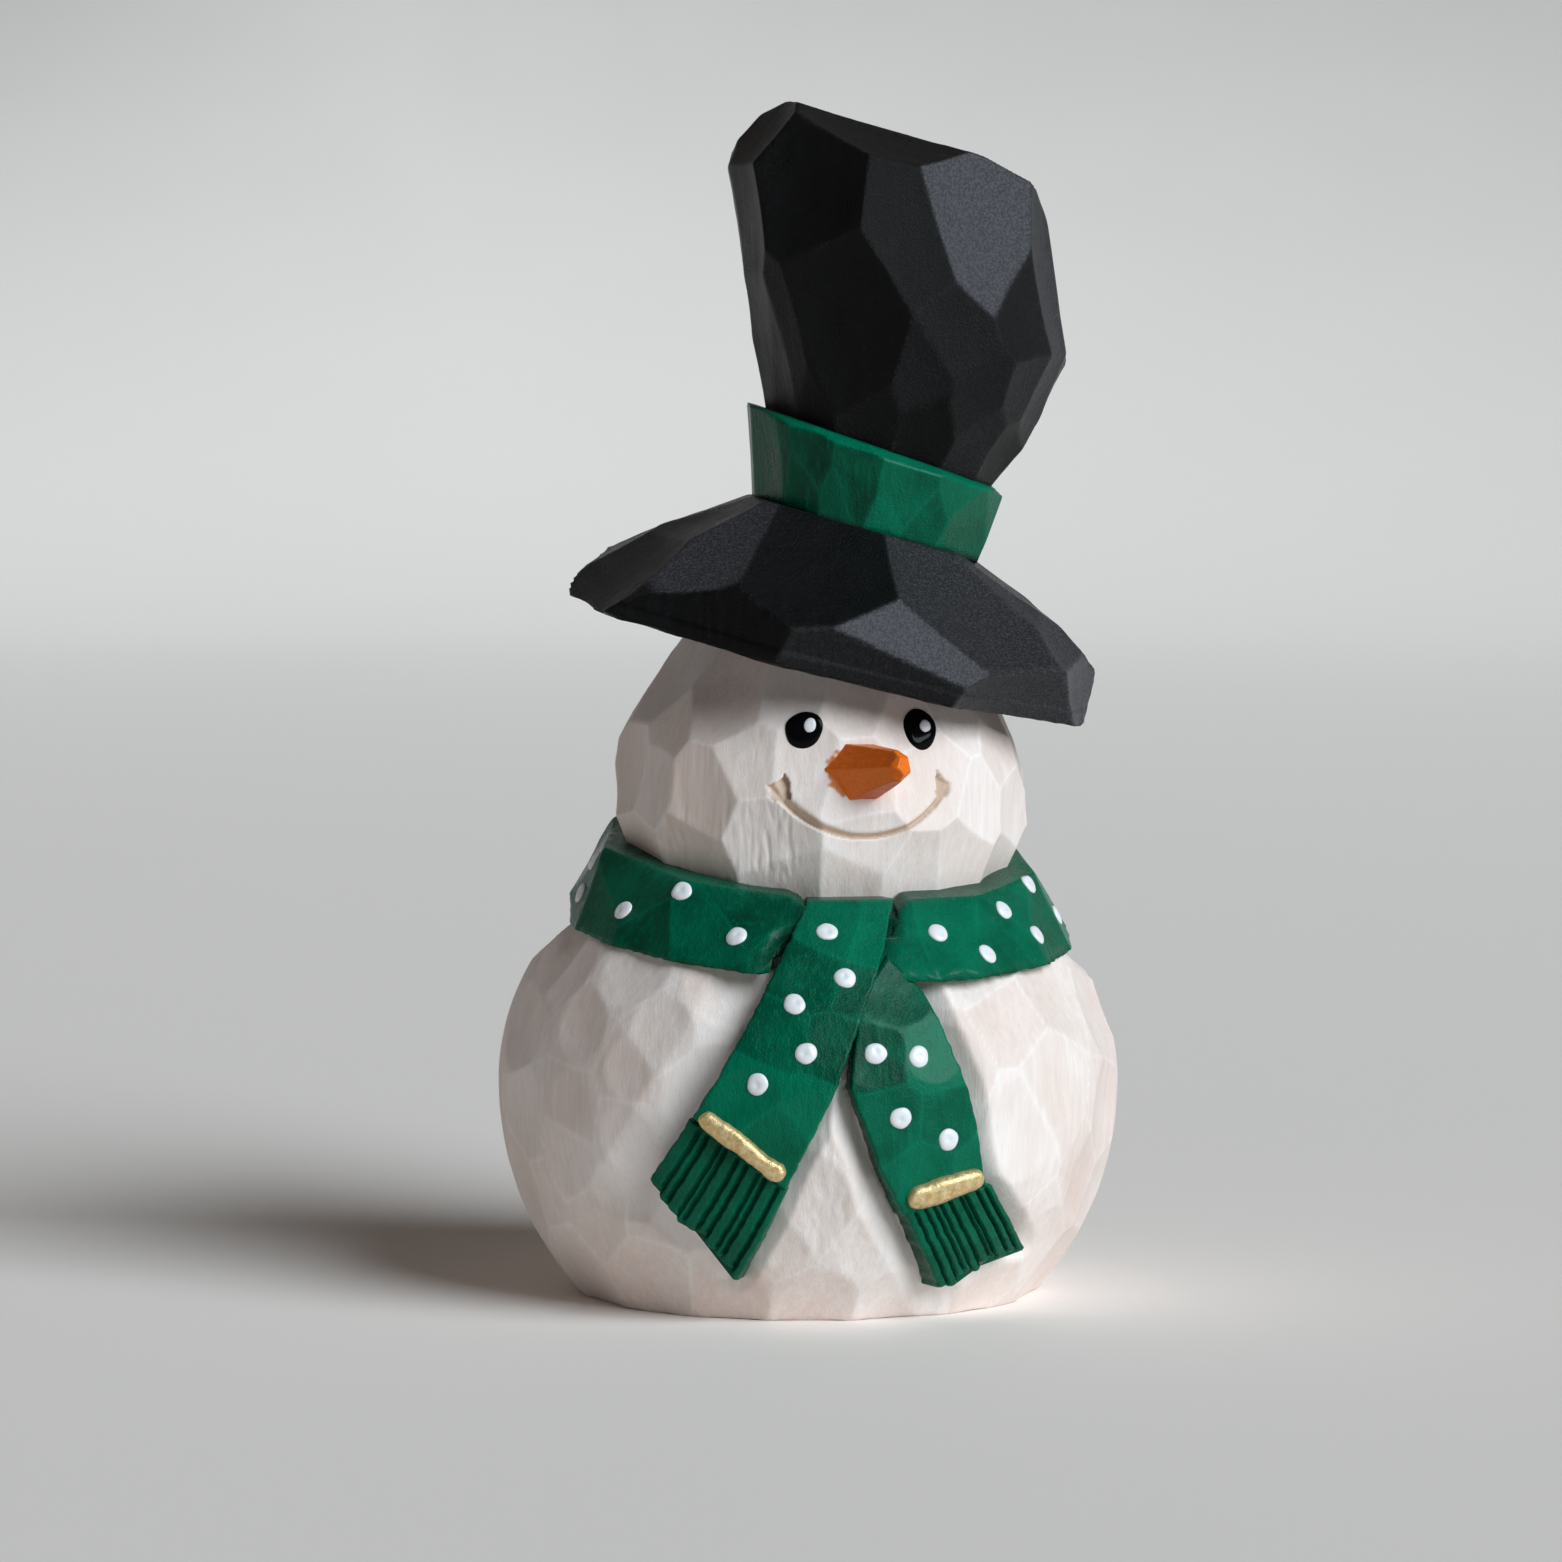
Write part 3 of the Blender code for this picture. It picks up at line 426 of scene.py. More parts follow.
def carve(cuts, origins, directions, soft=0.06):
    """Carries rays to the cuts: how far each goes, how near a ridge it ends, and its tone.

    soft is the size that ridges are rounded to, and CREST how far a ridge is felt.
    """
    points, normals, along, across = (np.array([row[k] for row in cuts.rows]) for k in range(4))
    bend_along, bend_across, tones = (np.array([row[k] for row in cuts.rows]) for k in (4, 5, 6))
    reach, ridge, tone = (np.empty(len(origins)) for _ in range(3))
    for start in range(0, len(origins), BATCH):
        part = slice(start, start + BATCH)
        origin, direction = origins[part], directions[part]
        rise = direction @ normals.T
        open_ray = rise < GRAZING
        rise[open_ray] = 1.0
        base = (points * normals).sum(axis=1) - origin @ normals.T
        away = base / rise
        lead = origin @ along.T - (points * along).sum(axis=1)
        drift = origin @ across.T - (points * across).sum(axis=1)
        for _ in range(3):
            bow = (bend_along * (lead + away * (direction @ along.T)) ** 2
                   + bend_across * (drift + away * (direction @ across.T)) ** 2)
            away = (base + np.minimum(bow, DEEPEST_BOW)) / rise
        away[open_ray] = OUT_OF_REACH
        nearest, second = np.partition(away, 1, axis=1)[:, :2].T
        weight = np.exp(-(away - nearest[:, None]) / soft)
        total = weight.sum(axis=1)
        reach[part] = nearest - soft * np.log(total)
        ridge[part] = np.exp(-(second - nearest) / CREST)
        tone[part] = weight @ tones / total
    return reach, ridge, tone


def rays_from(rows, radial, up):
    """Rays in rows of (starts, degrees from radial towards up), and the layout that they had."""
    origins = [np.broadcast_to(starts, radial.shape) for starts, _ in rows]
    tips = [math.radians(tip) for _, tip in rows]
    directions = [radial * math.cos(tip) + up * math.sin(tip) for tip in tips]
    layout = (len(rows), len(radial))
    return np.array(origins).reshape(-1, 3), np.array(directions).reshape(-1, 3), layout


def ray_rows(foot, head, inset, up, columns, counts, crowd):
    """Rays that leave a form on every side, row by row from its foot to its head.

    They start on the axis, on an oval of half-widths inset round it, and between the
    two. counts is the number of rows on an end, round an edge and up the side.
    """
    cap, bend, side = counts
    foot, head = np.array(foot, float), np.array(head, float)
    up = unit(np.array(up, float))
    right = unit(np.array((1.0, 0.0, 0.0)) - up[0] * up)
    fore = -np.cross(up, right)
    even = TAU * np.arange(columns) / columns
    turns = even - crowd * np.sin(even)
    radial = np.sin(turns)[:, None] * right + np.cos(turns)[:, None] * fore
    oval = np.sin(turns)[:, None] * inset[0] * right + np.cos(turns)[:, None] * inset[1] * fore
    stations = [(step / cap, 0.0, -90.0) for step in range(cap + 1)]
    stations += [(1.0, 0.0, 90.0 * step / bend - 90.0) for step in range(1, bend + 1)]
    stations += [(1.0, (step + 1) / side, 0.0) for step in range(side)]
    stations += [(1.0, 1.0, 90.0 * step / bend) for step in range(1, bend + 1)]
    stations += [(1.0 - (step + 1) / cap, 1.0, 90.0) for step in range(cap)]
    rows = [(foot + (head - foot) * share + oval * out, tip) for out, share, tip in stations]
    return rays_from(rows, radial, up)


# ----------------------------------------------------------------------- meshes
def closed_skin(points):
    """Vertices and faces of a closed skin: rows of rings, each end row drawn to one point."""
    rows, columns = points.shape[:2]
    verts = np.concatenate((points[:1].mean(axis=1), points[1:-1].reshape(-1, 3),
                            points[-1:].mean(axis=1)))
    ring = 1 + np.arange((rows - 2) * columns).reshape(rows - 2, columns)
    after = np.roll(ring, -1, axis=1)
    quads = np.stack((ring[:-1], after[:-1], after[1:], ring[1:]), -1).reshape(-1, 4)
    last = len(verts) - 1
    foot = [(0, b, a) for a, b in zip(ring[0].tolist(), after[0].tolist())]
    head = [(last, a, b) for a, b in zip(ring[-1].tolist(), after[-1].tolist())]
    return verts, quads.tolist() + foot + head


def hoop_skin(points):
    """Vertices and faces of a ring: rows that close on each other both ways."""
    rows, columns = points.shape[:2]
    ring = np.arange(rows * columns).reshape(rows, columns)
    after = np.roll(ring, -1, axis=1)
    quads = np.stack((ring, after, np.roll(after, -1, axis=0), np.roll(ring, -1, axis=0)), -1)
    return points.reshape(-1, 3), quads.reshape(-1, 4).tolist()


def ends_to_points(values):
    """A per-point value laid out as closed_skin lays out its vertices."""
    return np.concatenate((values[:1].mean(axis=1), values[1:-1].ravel(), values[-1:].mean(axis=1)))


def closed_form(points, layout, **marks):
    """The closed skin of the points of every ray, and their marks laid out as it is."""
    marks = {name: ends_to_points(values.reshape(layout)) for name, values in marks.items()}
    return closed_skin(points.reshape(*layout, 3)), marks


def add_piece(name, skin, finish, replaced, marks=None, sharp=None):
    verts, faces = skin
    mesh = bpy.data.meshes.new(name)
    mesh.from_pydata((verts * MM).tolist(), [], faces)
    mesh.update()
    mesh.shade_smooth()
    if sharp:
        mesh.set_sharp_from_angle(angle=math.radians(sharp))
    for mark, values in (marks or {}).items():
        layer = mesh.attributes.new(mark, "FLOAT", "POINT")
        layer.data.foreach_set("value", np.ascontiguousarray(values, np.float32))
    mesh.materials.append(finish)
    piece = bpy.data.objects.new(name, mesh)
    bpy.context.collection.objects.link(piece)
    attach(piece, "root")
    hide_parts(replaced)
    return piece


# -------------------------------------------------------------------- materials
class Finish:
    """A node material, with short calls for the nodes that the finishes share."""

    def __init__(self, name):
        self.material = bpy.data.materials.new(name)
        self.material.use_nodes = True
        self.nodes = self.material.node_tree.nodes
        self.links = self.material.node_tree.links
        self.shader = self.nodes["Principled BSDF"]
        self.place = self.nodes.new("ShaderNodeTexCoord").outputs["Object"]

    def put(self, value, socket):
        """Links a socket, or sets a plain value."""
        if isinstance(value, bpy.types.NodeSocket):
            self.links.new(value, socket)
        else:
            socket.default_value = (*value, 1.0) if isinstance(value, tuple) else value

    def fixed(self, **values):
        """Values that are the same all over the surface, set on the shader itself."""
        for name, value in values.items():
            self.shader.inputs[name.replace("_", " ").title().replace("Ior", "IOR")].default_value = value

    def mark(self, name):
        """A value that the carving left on the mesh."""
        node = self.nodes.new("ShaderNodeAttribute")
        node.attribute_name = name
        return node.outputs["Fac"]

    def cells(self, sizes):
        """The place on the piece, in cells of that many millimetres along X, Y and Z."""
        node = self.nodes.new("ShaderNodeMapping")
        node.inputs["Scale"].default_value = [1.0 / (MM * size) for size in sizes]
        self.links.new(self.place, node.inputs["Vector"])
        return node.outputs["Vector"]

    def noise(self, sizes, detail=3.0, roughness=0.55, warp=0.0):
        """Noise with cells of those sizes, in millimetres."""
        node = self.nodes.new("ShaderNodeTexNoise")
        node.inputs["Scale"].default_value = 1.0
        node.inputs["Detail"].default_value = detail
        node.inputs["Roughness"].default_value = roughness
        node.inputs["Distortion"].default_value = warp
        self.links.new(self.cells(sizes), node.inputs["Vector"])
        return node.outputs["Fac"]

    def times(self, first, second):
        return self.math("MULTIPLY", first, second)

    def plus(self, first, second):
        return self.math("ADD", first, second)

    def math(self, kind, first, second=0.0, clamp=False):
        node = self.nodes.new("ShaderNodeMath")
        node.operation = kind
        node.use_clamp = clamp
        self.put(first, node.inputs[0])
        self.put(second, node.inputs[1])
        return node.outputs[0]

    def span(self, value, low, high, start=0.0, end=1.0):
        """The value's run from low to high, brought to the run from start to end."""
        node = self.nodes.new("ShaderNodeMapRange")
        for socket, given in zip(node.inputs, (value, low, high, start, end)):
            self.put(given, socket)
        return node.outputs[0]

    def total(self, *values):
        """The sum of the values, kept between 0 and 1."""
        made = values[0]
        for value in values[1:]:
            made = self.plus(made, value)
        return self.math("ADD", made, 0.0, clamp=True)

    def mix(self, share, first, second):
        """A colour that is share of the way from the first to the second."""
        node = self.nodes.new("ShaderNodeMix")
        node.data_type = "RGBA"
        self.put(share, node.inputs["Factor"])
        colours = [socket for socket in node.inputs if socket.type == "RGBA"]
        self.put(first, colours[0])
        self.put(second, colours[1])
        return next(socket for socket in node.outputs if socket.type == "RGBA")

    def colour(self, value):
        self.put(value, self.shader.inputs["Base Color"])

    def rough(self, value, low, high):
        """Roughness from low to high, over the middle of a noise's run."""
        self.put(self.span(value, 0.3, 0.7, low, high), self.shader.inputs["Roughness"])

    def bump(self, height, distance, strength=1.0):
        """Fine relief on top of the geometry; the distance is in millimetres."""
        node = self.nodes.new("ShaderNodeBump")
        node.inputs["Strength"].default_value = strength
        node.inputs["Distance"].default_value = distance * MM
        self.links.new(height, node.inputs["Height"])
        self.links.new(node.outputs["Normal"], self.shader.inputs["Normal"])


def snow_wash():
    """Thin white wash on pale, slightly pink wood, whiter on ridges and along the scarf."""
    made = Finish("snow_wash")
    broad = made.noise((9.0, 9.0, 14.0), 4.0)
    brush = made.noise((0.7, 0.7, 7.0), 4.0, 0.6, 0.2)
    grain = made.noise((0.22, 0.22, 5.0), 3.0, 0.6)
    cover = made.total(
        0.18, made.times(made.mark("tone"), 0.4), made.span(broad, 0.35, 0.7, 0.0, 0.4),
        made.span(brush, 0.35, 0.7, -0.12, 0.2), made.times(made.mark("ridge"), 0.45),
        made.times(made.mark("trench"), 0.45))
    paint = made.mix(cover, (0.745, 0.575, 0.50), (0.91, 0.825, 0.785))
    paint = made.mix(made.span(grain, 0.56, 0.75, 0.0, 0.35), paint, (0.66, 0.52, 0.43))
    wood = made.mix(grain, (0.52, 0.36, 0.26), (0.66, 0.49, 0.37))
    paint = made.mix(made.mark("bare"), paint, wood)
    made.colour(made.mix(made.mark("smear"), paint, (0.62, 0.17, 0.03)))
    made.rough(brush, 0.5, 0.68)
    relief = made.plus(made.times(brush, 0.6), made.times(grain, 0.5))
    speck = made.noise((0.35, 0.35, 0.35), 2.0)
    made.bump(made.plus(relief, made.times(speck, 0.25)), 0.13, 0.55)
    return made.material


def black_paint():
    """Satin black with a fine speckle, painted lighter grey on facets of high tone, a speckled painted sheen,
    and rubbed slightly brown along the ridges.
    """
    made = Finish("black_paint")
    patch = made.noise((4.0, 4.0, 6.0), 4.0)
    speck = made.noise((0.3, 0.3, 0.3), 4.0, 0.65)
    streak = made.noise((0.5, 0.5, 4.0), 3.0)
    # The tone lightens the base to grey, speckled: a painted sheen for the key's reflection.
    painted_sheen = made.math("POWER", made.mark("tone"), 2.2)
    painted_sheen = made.times(painted_sheen, made.span(speck, 0.47, 0.72, 0.6, 2.6))
    base = made.mix(patch, (0.002, 0.002, 0.0022), (0.005, 0.0049, 0.005))
    base = made.mix(painted_sheen, base, (0.085, 0.085, 0.094))
    worn = made.times(made.mark("ridge"), made.span(speck, 0.5, 0.62))
    worn = made.times(worn, made.span(patch, 0.45, 0.6, 0.0, 0.8))
    made.colour(made.mix(worn, base, (0.06, 0.045, 0.035)))
    made.rough(patch, 0.27, 0.38)
    made.fixed(specular_ior_level=0.12)
    made.bump(made.plus(speck, made.times(streak, 0.12)), 0.2, 0.9)
    return made.material


def green_paint():
    """Brushed green acrylic with a soft gloss, its tone painted per cut, with painted shade and highlight on
    the band and the wrap, and near black where the trench mark is: painted shade in the grooves, on the walls
    and at the joins.
    """
    made = Finish("green_paint")
    broad = made.noise((5.0, 5.0, 5.0), 3.0)
    brush = made.noise((0.7, 0.7, 3.0), 4.0, 0.6, 0.3)
    speck = made.noise((0.28, 0.28, 0.28), 2.0)
    # Lighter with the tone: random on the tails, painted shade and highlight on the band and the wrap.
    thick = made.total(made.times(made.mark("tone"), 0.75),
                       made.span(broad, 0.35, 0.65, 0.0, 0.35))
    base = made.mix(thick, (0.0, 0.045, 0.022), (0.0, 0.155, 0.08))
    base = made.mix(made.span(brush, 0.52, 0.75, 0.0, 0.4), base, (0.0, 0.19, 0.10))
    base = made.mix(made.times(made.mark("ridge"), 0.35), base, (0.0, 0.22, 0.12))
    # Near black on the trench mark: painted shade in grooves, on walls and where parts meet.
    made.colour(made.mix(made.mark("trench"), base, (0.0, 0.012, 0.007)))
    made.rough(broad, 0.2, 0.36)
    made.fixed(specular_ior_level=0.06, coat_weight=0.1, coat_roughness=0.2)
    made.bump(made.plus(brush, made.times(speck, 0.8)), 0.18, 0.8)
    return made.material


def gold_paint():
    """Leaf gold, crinkled, over the green."""
    made = Finish("gold_paint")
    crinkle = made.noise((0.8, 0.8, 0.8), 5.0, 0.65, 0.5)
    speck = made.noise((0.2, 0.2, 0.2), 2.0)
    made.colour(made.mix(made.span(crinkle, 0.35, 0.7), (0.60, 0.39, 0.14), (0.90, 0.72, 0.42)))
    made.rough(crinkle, 0.28, 0.5)
    made.fixed(metallic=0.55)
    made.bump(made.plus(crinkle, made.times(speck, 0.4)), 0.16, 0.7)
    return made.material


def orange_paint():
    """Orange carrot paint with the brush showing, deeper on facets of low tone and lightest on the tip, whose
    high tones are a painted highlight.
    """
    made = Finish("orange_paint")
    brush = made.noise((1.6, 0.35, 0.35), 4.0, 0.6, 0.6)
    tone = made.total(made.times(made.mark("tone"), 0.75), made.span(brush, 0.3, 0.7, 0.0, 0.4))
    made.colour(made.mix(tone, (0.50, 0.075, 0.004), (0.93, 0.20, 0.012)))
    made.rough(brush, 0.3, 0.48)
    made.fixed(specular_ior_level=0.28)
    made.bump(brush, 0.09, 0.6)
    return made.material


def enamel(name, low, high, rough, bump, specular=0.5):
    """Glossy enamel of a paint drop."""
    made = Finish(name)
    cloud = made.noise((0.9, 0.9, 0.9), 3.0)
    made.colour(made.mix(cloud, low, high))
    made.rough(cloud, *rough)
    made.fixed(specular_ior_level=specular)
    made.bump(cloud, bump, 0.5)
    return made.material


def plain_dowel():
    """Straight-grained birch."""
    made = Finish("plain_dowel")
    grain = made.noise((0.5, 0.5, 9.0), 4.0, 0.6)
    made.colour(made.mix(grain, (0.44, 0.28, 0.16), (0.66, 0.48, 0.30)))
    made.rough(grain, 0.62, 0.8)
    made.bump(grain, 0.1, 0.4)
    return made.material


SNOW = snow_wash()
BLACK = black_paint()
GREEN = green_paint()
GOLD = gold_paint()
ORANGE = orange_paint()
WHITE = enamel("white_enamel", (0.74, 0.74, 0.76), (0.86, 0.86, 0.88), (0.26, 0.4), 0.05)
GLOSS = enamel("black_enamel", (0.002, 0.002, 0.0025), (0.004, 0.004, 0.0045), (0.08, 0.16), 0.02, 0.08)
DOWEL = plain_dowel()


# ------------------------------------------------------------------ body and head
def rows_of_places(levels, counts, span, chance):
    """Staggered places round the part of a form that span covers, in degrees."""
    first, last = span
    places = []
    for row, (level, count) in enumerate(zip(levels, counts)):
        for step in range(count):
            share = (step + 0.5 * (row % 2) + 0.25 + chance.uniform(-0.16, 0.16)) / count
            places.append((first + (last - first) * share, level + chance.uniform(-1.3, 1.3)))
    return places


def tear_out(points, zone, amount, seed):
    """Torn vertical grain inside a zone (turn, half turn, height, half height), as a depth."""
    turn, half_turn, height, half_height = zone
    angle = np.degrees(np.arctan2(points[:, 0], -points[:, 1]))
    inside = 1.0 - np.maximum(np.abs(angle - turn) / half_turn,
                              np.abs(points[:, 2] - height) / half_height)
    fibre = noise(points, (0.42, 0.42, 14.0), seed) + 0.6 * noise(points, (0.25, 0.25, 8.0), seed + 1)
    return amount * np.clip(inside * 3.0, 0.0, 1.0) * np.clip(fibre, -0.2, 1.0)


def hold_in(form, origins, directions, reach, margin):
    """Keeps rays from going further than margin outside a form's smooth surface."""
    for _ in range(3):
        points = origins + directions * reach[:, None]
        flat = points[:, :2] - form["centre"]
        radius = np.maximum(np.hypot(*flat.T), 1e-6)
        limit = egg_radius(form, points[:, 2])
        slope = (egg_radius(form, points[:, 2] + 0.1) - limit) / 0.1
        gain = (flat * directions[:, :2]).sum(axis=1) / radius - slope * directions[:, 2]
        excess = np.maximum(radius - limit - margin, 0.0)
        reach = reach - excess / np.maximum(gain, 0.3)
    return reach


def whittle_undulation(points, seed):
    """The small unevenness that a hand-held knife leaves."""
    return (0.07 * noise(points, (5.0, 5.0, 8.0), seed) + 0.035 * noise(points, (1.6, 1.6, 3.5), seed + 1)
            + 0.018 * noise(points, (0.5, 0.5, 4.0), seed + 2))


def worked_grain(points, seed, tears):
    """The unevenness that the knife leaves on a form, with its zones of torn grain."""
    depth = whittle_undulation(points, seed)
    for zone, amount, number in tears:
        depth += tear_out(points, zone, amount, number)
    return depth


def snow_body():
    """The body, cut back along the scarf's tails so that they stand out of it."""
    cuts = Cuts(3)
    surface = egg(BODY)
    back = rows_of_places((4.0, 13.0, 23.5, 33.5, 43.0), (9, 10, 11, 10, 9), (90.0, 246.0),
                          cuts.chance)
    cuts.scoops(surface, BODY_CUTS + tuple(back), 38.0, (120.0, 42.0), tilt=3.5)
    edge_on = Cuts(4)
    edge_on.profile(BODY_PROFILE, (0.0, 25.0), 0.009)
    cuts.rows += edge_on.turned().rows
    cuts.slope(0.0, 0.0, 0.0, above=False)
    cuts.slope(BODY_TOP, 0.0, 0.0)
    origins, directions, layout = ray_rows((0, 0, 9.0), (0, 0, 42.0), (20.0, 20.0), UP, 440,
                                           (5, 44, 112), 0.3)
    reach, ridge, tone = carve(cuts, origins, directions)
    points = origins + directions * reach[:, None]
    hem, hem_x, hem_y = SCARF_HEM
    hat_frame = turned(points, -HAT_TURN)
    x, y, z = points.T
    under_scarf = z - hem - hem_x * hat_frame[:, 0] - hem_y * hat_frame[:, 1]
    covered = in_outline(x, z, OVER_LEFT + OVER_RIGHT[::-1])
    covered |= in_outline(x, z, UNDER_LEFT + UNDER_RIGHT[::-1])
    margin = OPEN_MARGIN + WRAP_MARGIN * np.clip(under_scarf / 1.2, 0.0, 1.0)
    margin = np.where(covered & (y < 0.0), np.minimum(margin, TAIL_MARGIN), margin)
    reach = hold_in(BODY, origins, directions, reach, margin)
    points = origins + directions * reach[:, None]
    x, y, z = points.T
    front = y < 0.0
    trench = np.zeros(len(points))
    sunk = np.zeros(len(points))
    scallop = 1.0 + 0.22 * noise(points, (60.0, 60.0, 7.0), 31)
    for path, width, depth in TRENCHES:
        near = 1.0 - path_distance(x, z, path) / (width * scallop)
        near = np.where(front, np.clip(near, 0.0, 1.0), 0.0)
        sunk = np.maximum(sunk, depth * near)
        trench = np.maximum(trench, np.clip(near * 2.2, 0.0, 1.0))
    above_floor = z > 0.4
    reach = reach - sunk - np.where(above_floor, worked_grain(points, 5, BODY_TEARS), 0.0)
    blank = np.zeros(len(reach))
    skin, marks = closed_form(origins + directions * reach[:, None], layout, ridge=ridge, tone=tone,
                              trench=trench, bare=blank, smear=blank)
    return add_piece("snow_body_carved", skin, SNOW, "snow_body", marks)


def in_outline(x, z, outline):
    """Whether each point (x, z) lies inside an outline."""
    inside = np.zeros(np.shape(x), bool)
    for (ax, az), (bx, bz) in zip(outline, outline[1:] + outline[:1]):
        crosses = (az > z) != (bz > z)
        inside ^= crosses & (x < ax + (bx - ax) * (z - az) / ((bz - az) or 1e-9))
    return inside


def smile_depth(x, z):
    """Depth of the mouth: a chip cut at each end of a groove with one sloping wall."""
    away = np.hypot(x - SMILE_CENTRE[0], z - SMILE_CENTRE[1]) - SMILE_RADIUS
    turn = np.degrees(np.arctan2(x - SMILE_CENTRE[0], SMILE_CENTRE[1] - z))
    bottom = np.interp(turn, *SMILE_DEEP)
    slope = np.clip(1.0 + away / np.interp(turn, *SMILE_SLOPE), 0.0, 1.0)
    wall = np.clip(1.0 - away / 0.22, 0.0, 1.0)
    depth = bottom * np.minimum(slope, wall) * (np.abs(turn) < SMILE_REACH)
    for outline, deep_edge, width in SMILE_CHIPS:
        pit = np.clip(1.0 - path_distance(x, z, deep_edge) / width, 0.0, 1.0)
        depth = np.maximum(depth, np.where(in_outline(x, z, outline), 0.95 * pit, 0.0))
    return depth


def snow_head():
    """The head, with the mouth cut into it and flecks of orange round the nose."""
    cuts = Cuts(11)
    surface = egg(HEAD)
    back = rows_of_places((55.0, 63.0, 71.0, 79.0), (7, 8, 8, 6), (96.0, 242.0), cuts.chance)
    cuts.scoops(surface, HEAD_CUTS + tuple(back), 25.0, (100.0, 36.0), tilt=3.0)
    edge_on = Cuts(6)
    edge_on.profile(HEAD_PROFILE, (2.0, 64.0), 0.012)
    cuts.rows += edge_on.turned().rows
    cuts.slope(HEAD_FOOT, 0.0, 0.0, above=False)
    seat = Cuts(0)
    seat.slope(*BRIM_SEAT, shift=LAP)
    cuts.rows += seat.turned().rows
    axis = HEAD["centre"]
    origins, directions, layout = ray_rows((*axis, 56.0), (*axis, 72.0), (11.0, 11.0), UP, 480,
                                           (3, 42, 84), 0.5)
    reach, ridge, tone = carve(cuts, origins, directions)
    points = origins + directions * reach[:, None]
    x, y, z = points.T
    front = y < 0.0
    cut = np.where(front, smile_depth(x, z), 0.0)
    wobble = 0.12 * noise(points, 0.7, 17)
    bare = np.clip(cut * 6.0 - 0.4 + 2.0 * wobble, 0.0, 1.0)
    box_low, box_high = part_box("carrot_nose")
    nose_x = (box_low.x + box_high.x) / 2.0 / MM
    nose_z = (box_low.z + box_high.z) / 2.0 / MM
    ragged = 0.5 * noise(points, 0.6, 23)
    root = np.hypot(x - nose_x + 1.3, (z - nose_z + 0.2) * 1.1)
    smear = np.where(front, np.clip((3.45 + ragged - root) * 3.0, 0.0, 1.0), 0.0)
    reach = reach - cut - worked_grain(points, 9, HEAD_TEARS)
    skin, marks = closed_form(origins + directions * reach[:, None], layout, ridge=ridge, tone=tone,
                              trench=np.zeros(len(reach)), bare=bare, smear=smear)
    return add_piece("snow_head_carved", skin, SNOW, "snow_head", marks)


# --------------------------------------------------------------------------- hat
def carved_hat_piece(name, cuts, rays, finish, replaced, roughen):
    """Carves a form in the hat's frame and brings it into the figure's.

    roughen gives how deep the surface is worn at each point, and how much of a groove it is.
    """
    origins, directions, layout = rays
    reach, ridge, tone = carve(cuts, origins, directions, soft=0.07)
    depth, trench = roughen(origins + directions * reach[:, None])
    points = turned(origins + directions * (reach - depth)[:, None])
    skin, marks = closed_form(points, layout, ridge=ridge, tone=tone, trench=trench)
    return add_piece(name, skin, finish, replaced, marks)


def hat_brim():
    """The brim: wide facets in front, a row of cuts round its edge, and saw marks on the edge."""
    cuts = Cuts(5, (0.0, 0.6))
    surface = loft(BRIM_RINGS)
    aims = {5: (26.0, 24.0, 0.4), 6: (8.0, 2.0, 0.4)}
    cuts.facets(surface, BRIM_FACETS, 60.0, (0.0, 3.0), BRIM_TONES, aims)
    cuts.profile(BRIM_PROFILE, (4.0, 84.0), 0.004)
    edge = [(turn, 1.25) for turn in (-68, -47, -27, -8, 28, 47, 66)]
    cuts.scoops(surface, edge, 60.0, (70.0, 34.0), lean=80.0, depth=0.22,
                tones=(0.5, 0.3, 0.1, 0.3, 0.5, 0.4, 0.7))
    top = rows_of_places((1.5, 2.4), (9, 6), (88.0, 278.0), cuts.chance)
    cuts.scoops(surface, [(turn, 1.45 + 0.9 * (level > 2.0)) for turn, level in top], 60.0,
                (120.0, 70.0), depth=0.8)
    rim = [(turn, 0.5) for turn in (110, 129, 147, 165, 184, 203, 221, 240, 254)]
    cuts.scoops(surface, rim, 34.0, (200.0, 90.0), lean=15.0, depth=0.8)
    cuts.slope(*BRIM_SEAT, above=False)
    cuts.slope(*BAND_SEAT, shift=LAP)
    height, slope_x, slope_y = BRIM_SEAT
    middle = (BRIM_MIDDLE, 0.0, height + BRIM_MIDDLE * slope_x + 2.0)
    rays = ray_rows(middle, middle, (23.0, 21.0), (-slope_x, -slope_y, 1.0), 560, (46, 30, 1), 0.15)

    def roughen(points):
        rim = np.hypot((points[:, 0] - BRIM_MIDDLE) / 34.0, points[:, 1] / 31.0) > 0.9
        saw = 0.10 * noise(points, (0.5, 0.5, 30.0), 61) * rim
        return whittle_undulation(points, 13) + saw, np.zeros(len(points))

    return carved_hat_piece("hat_brim_carved", cuts, rays, BLACK, "hat_brim", roughen)


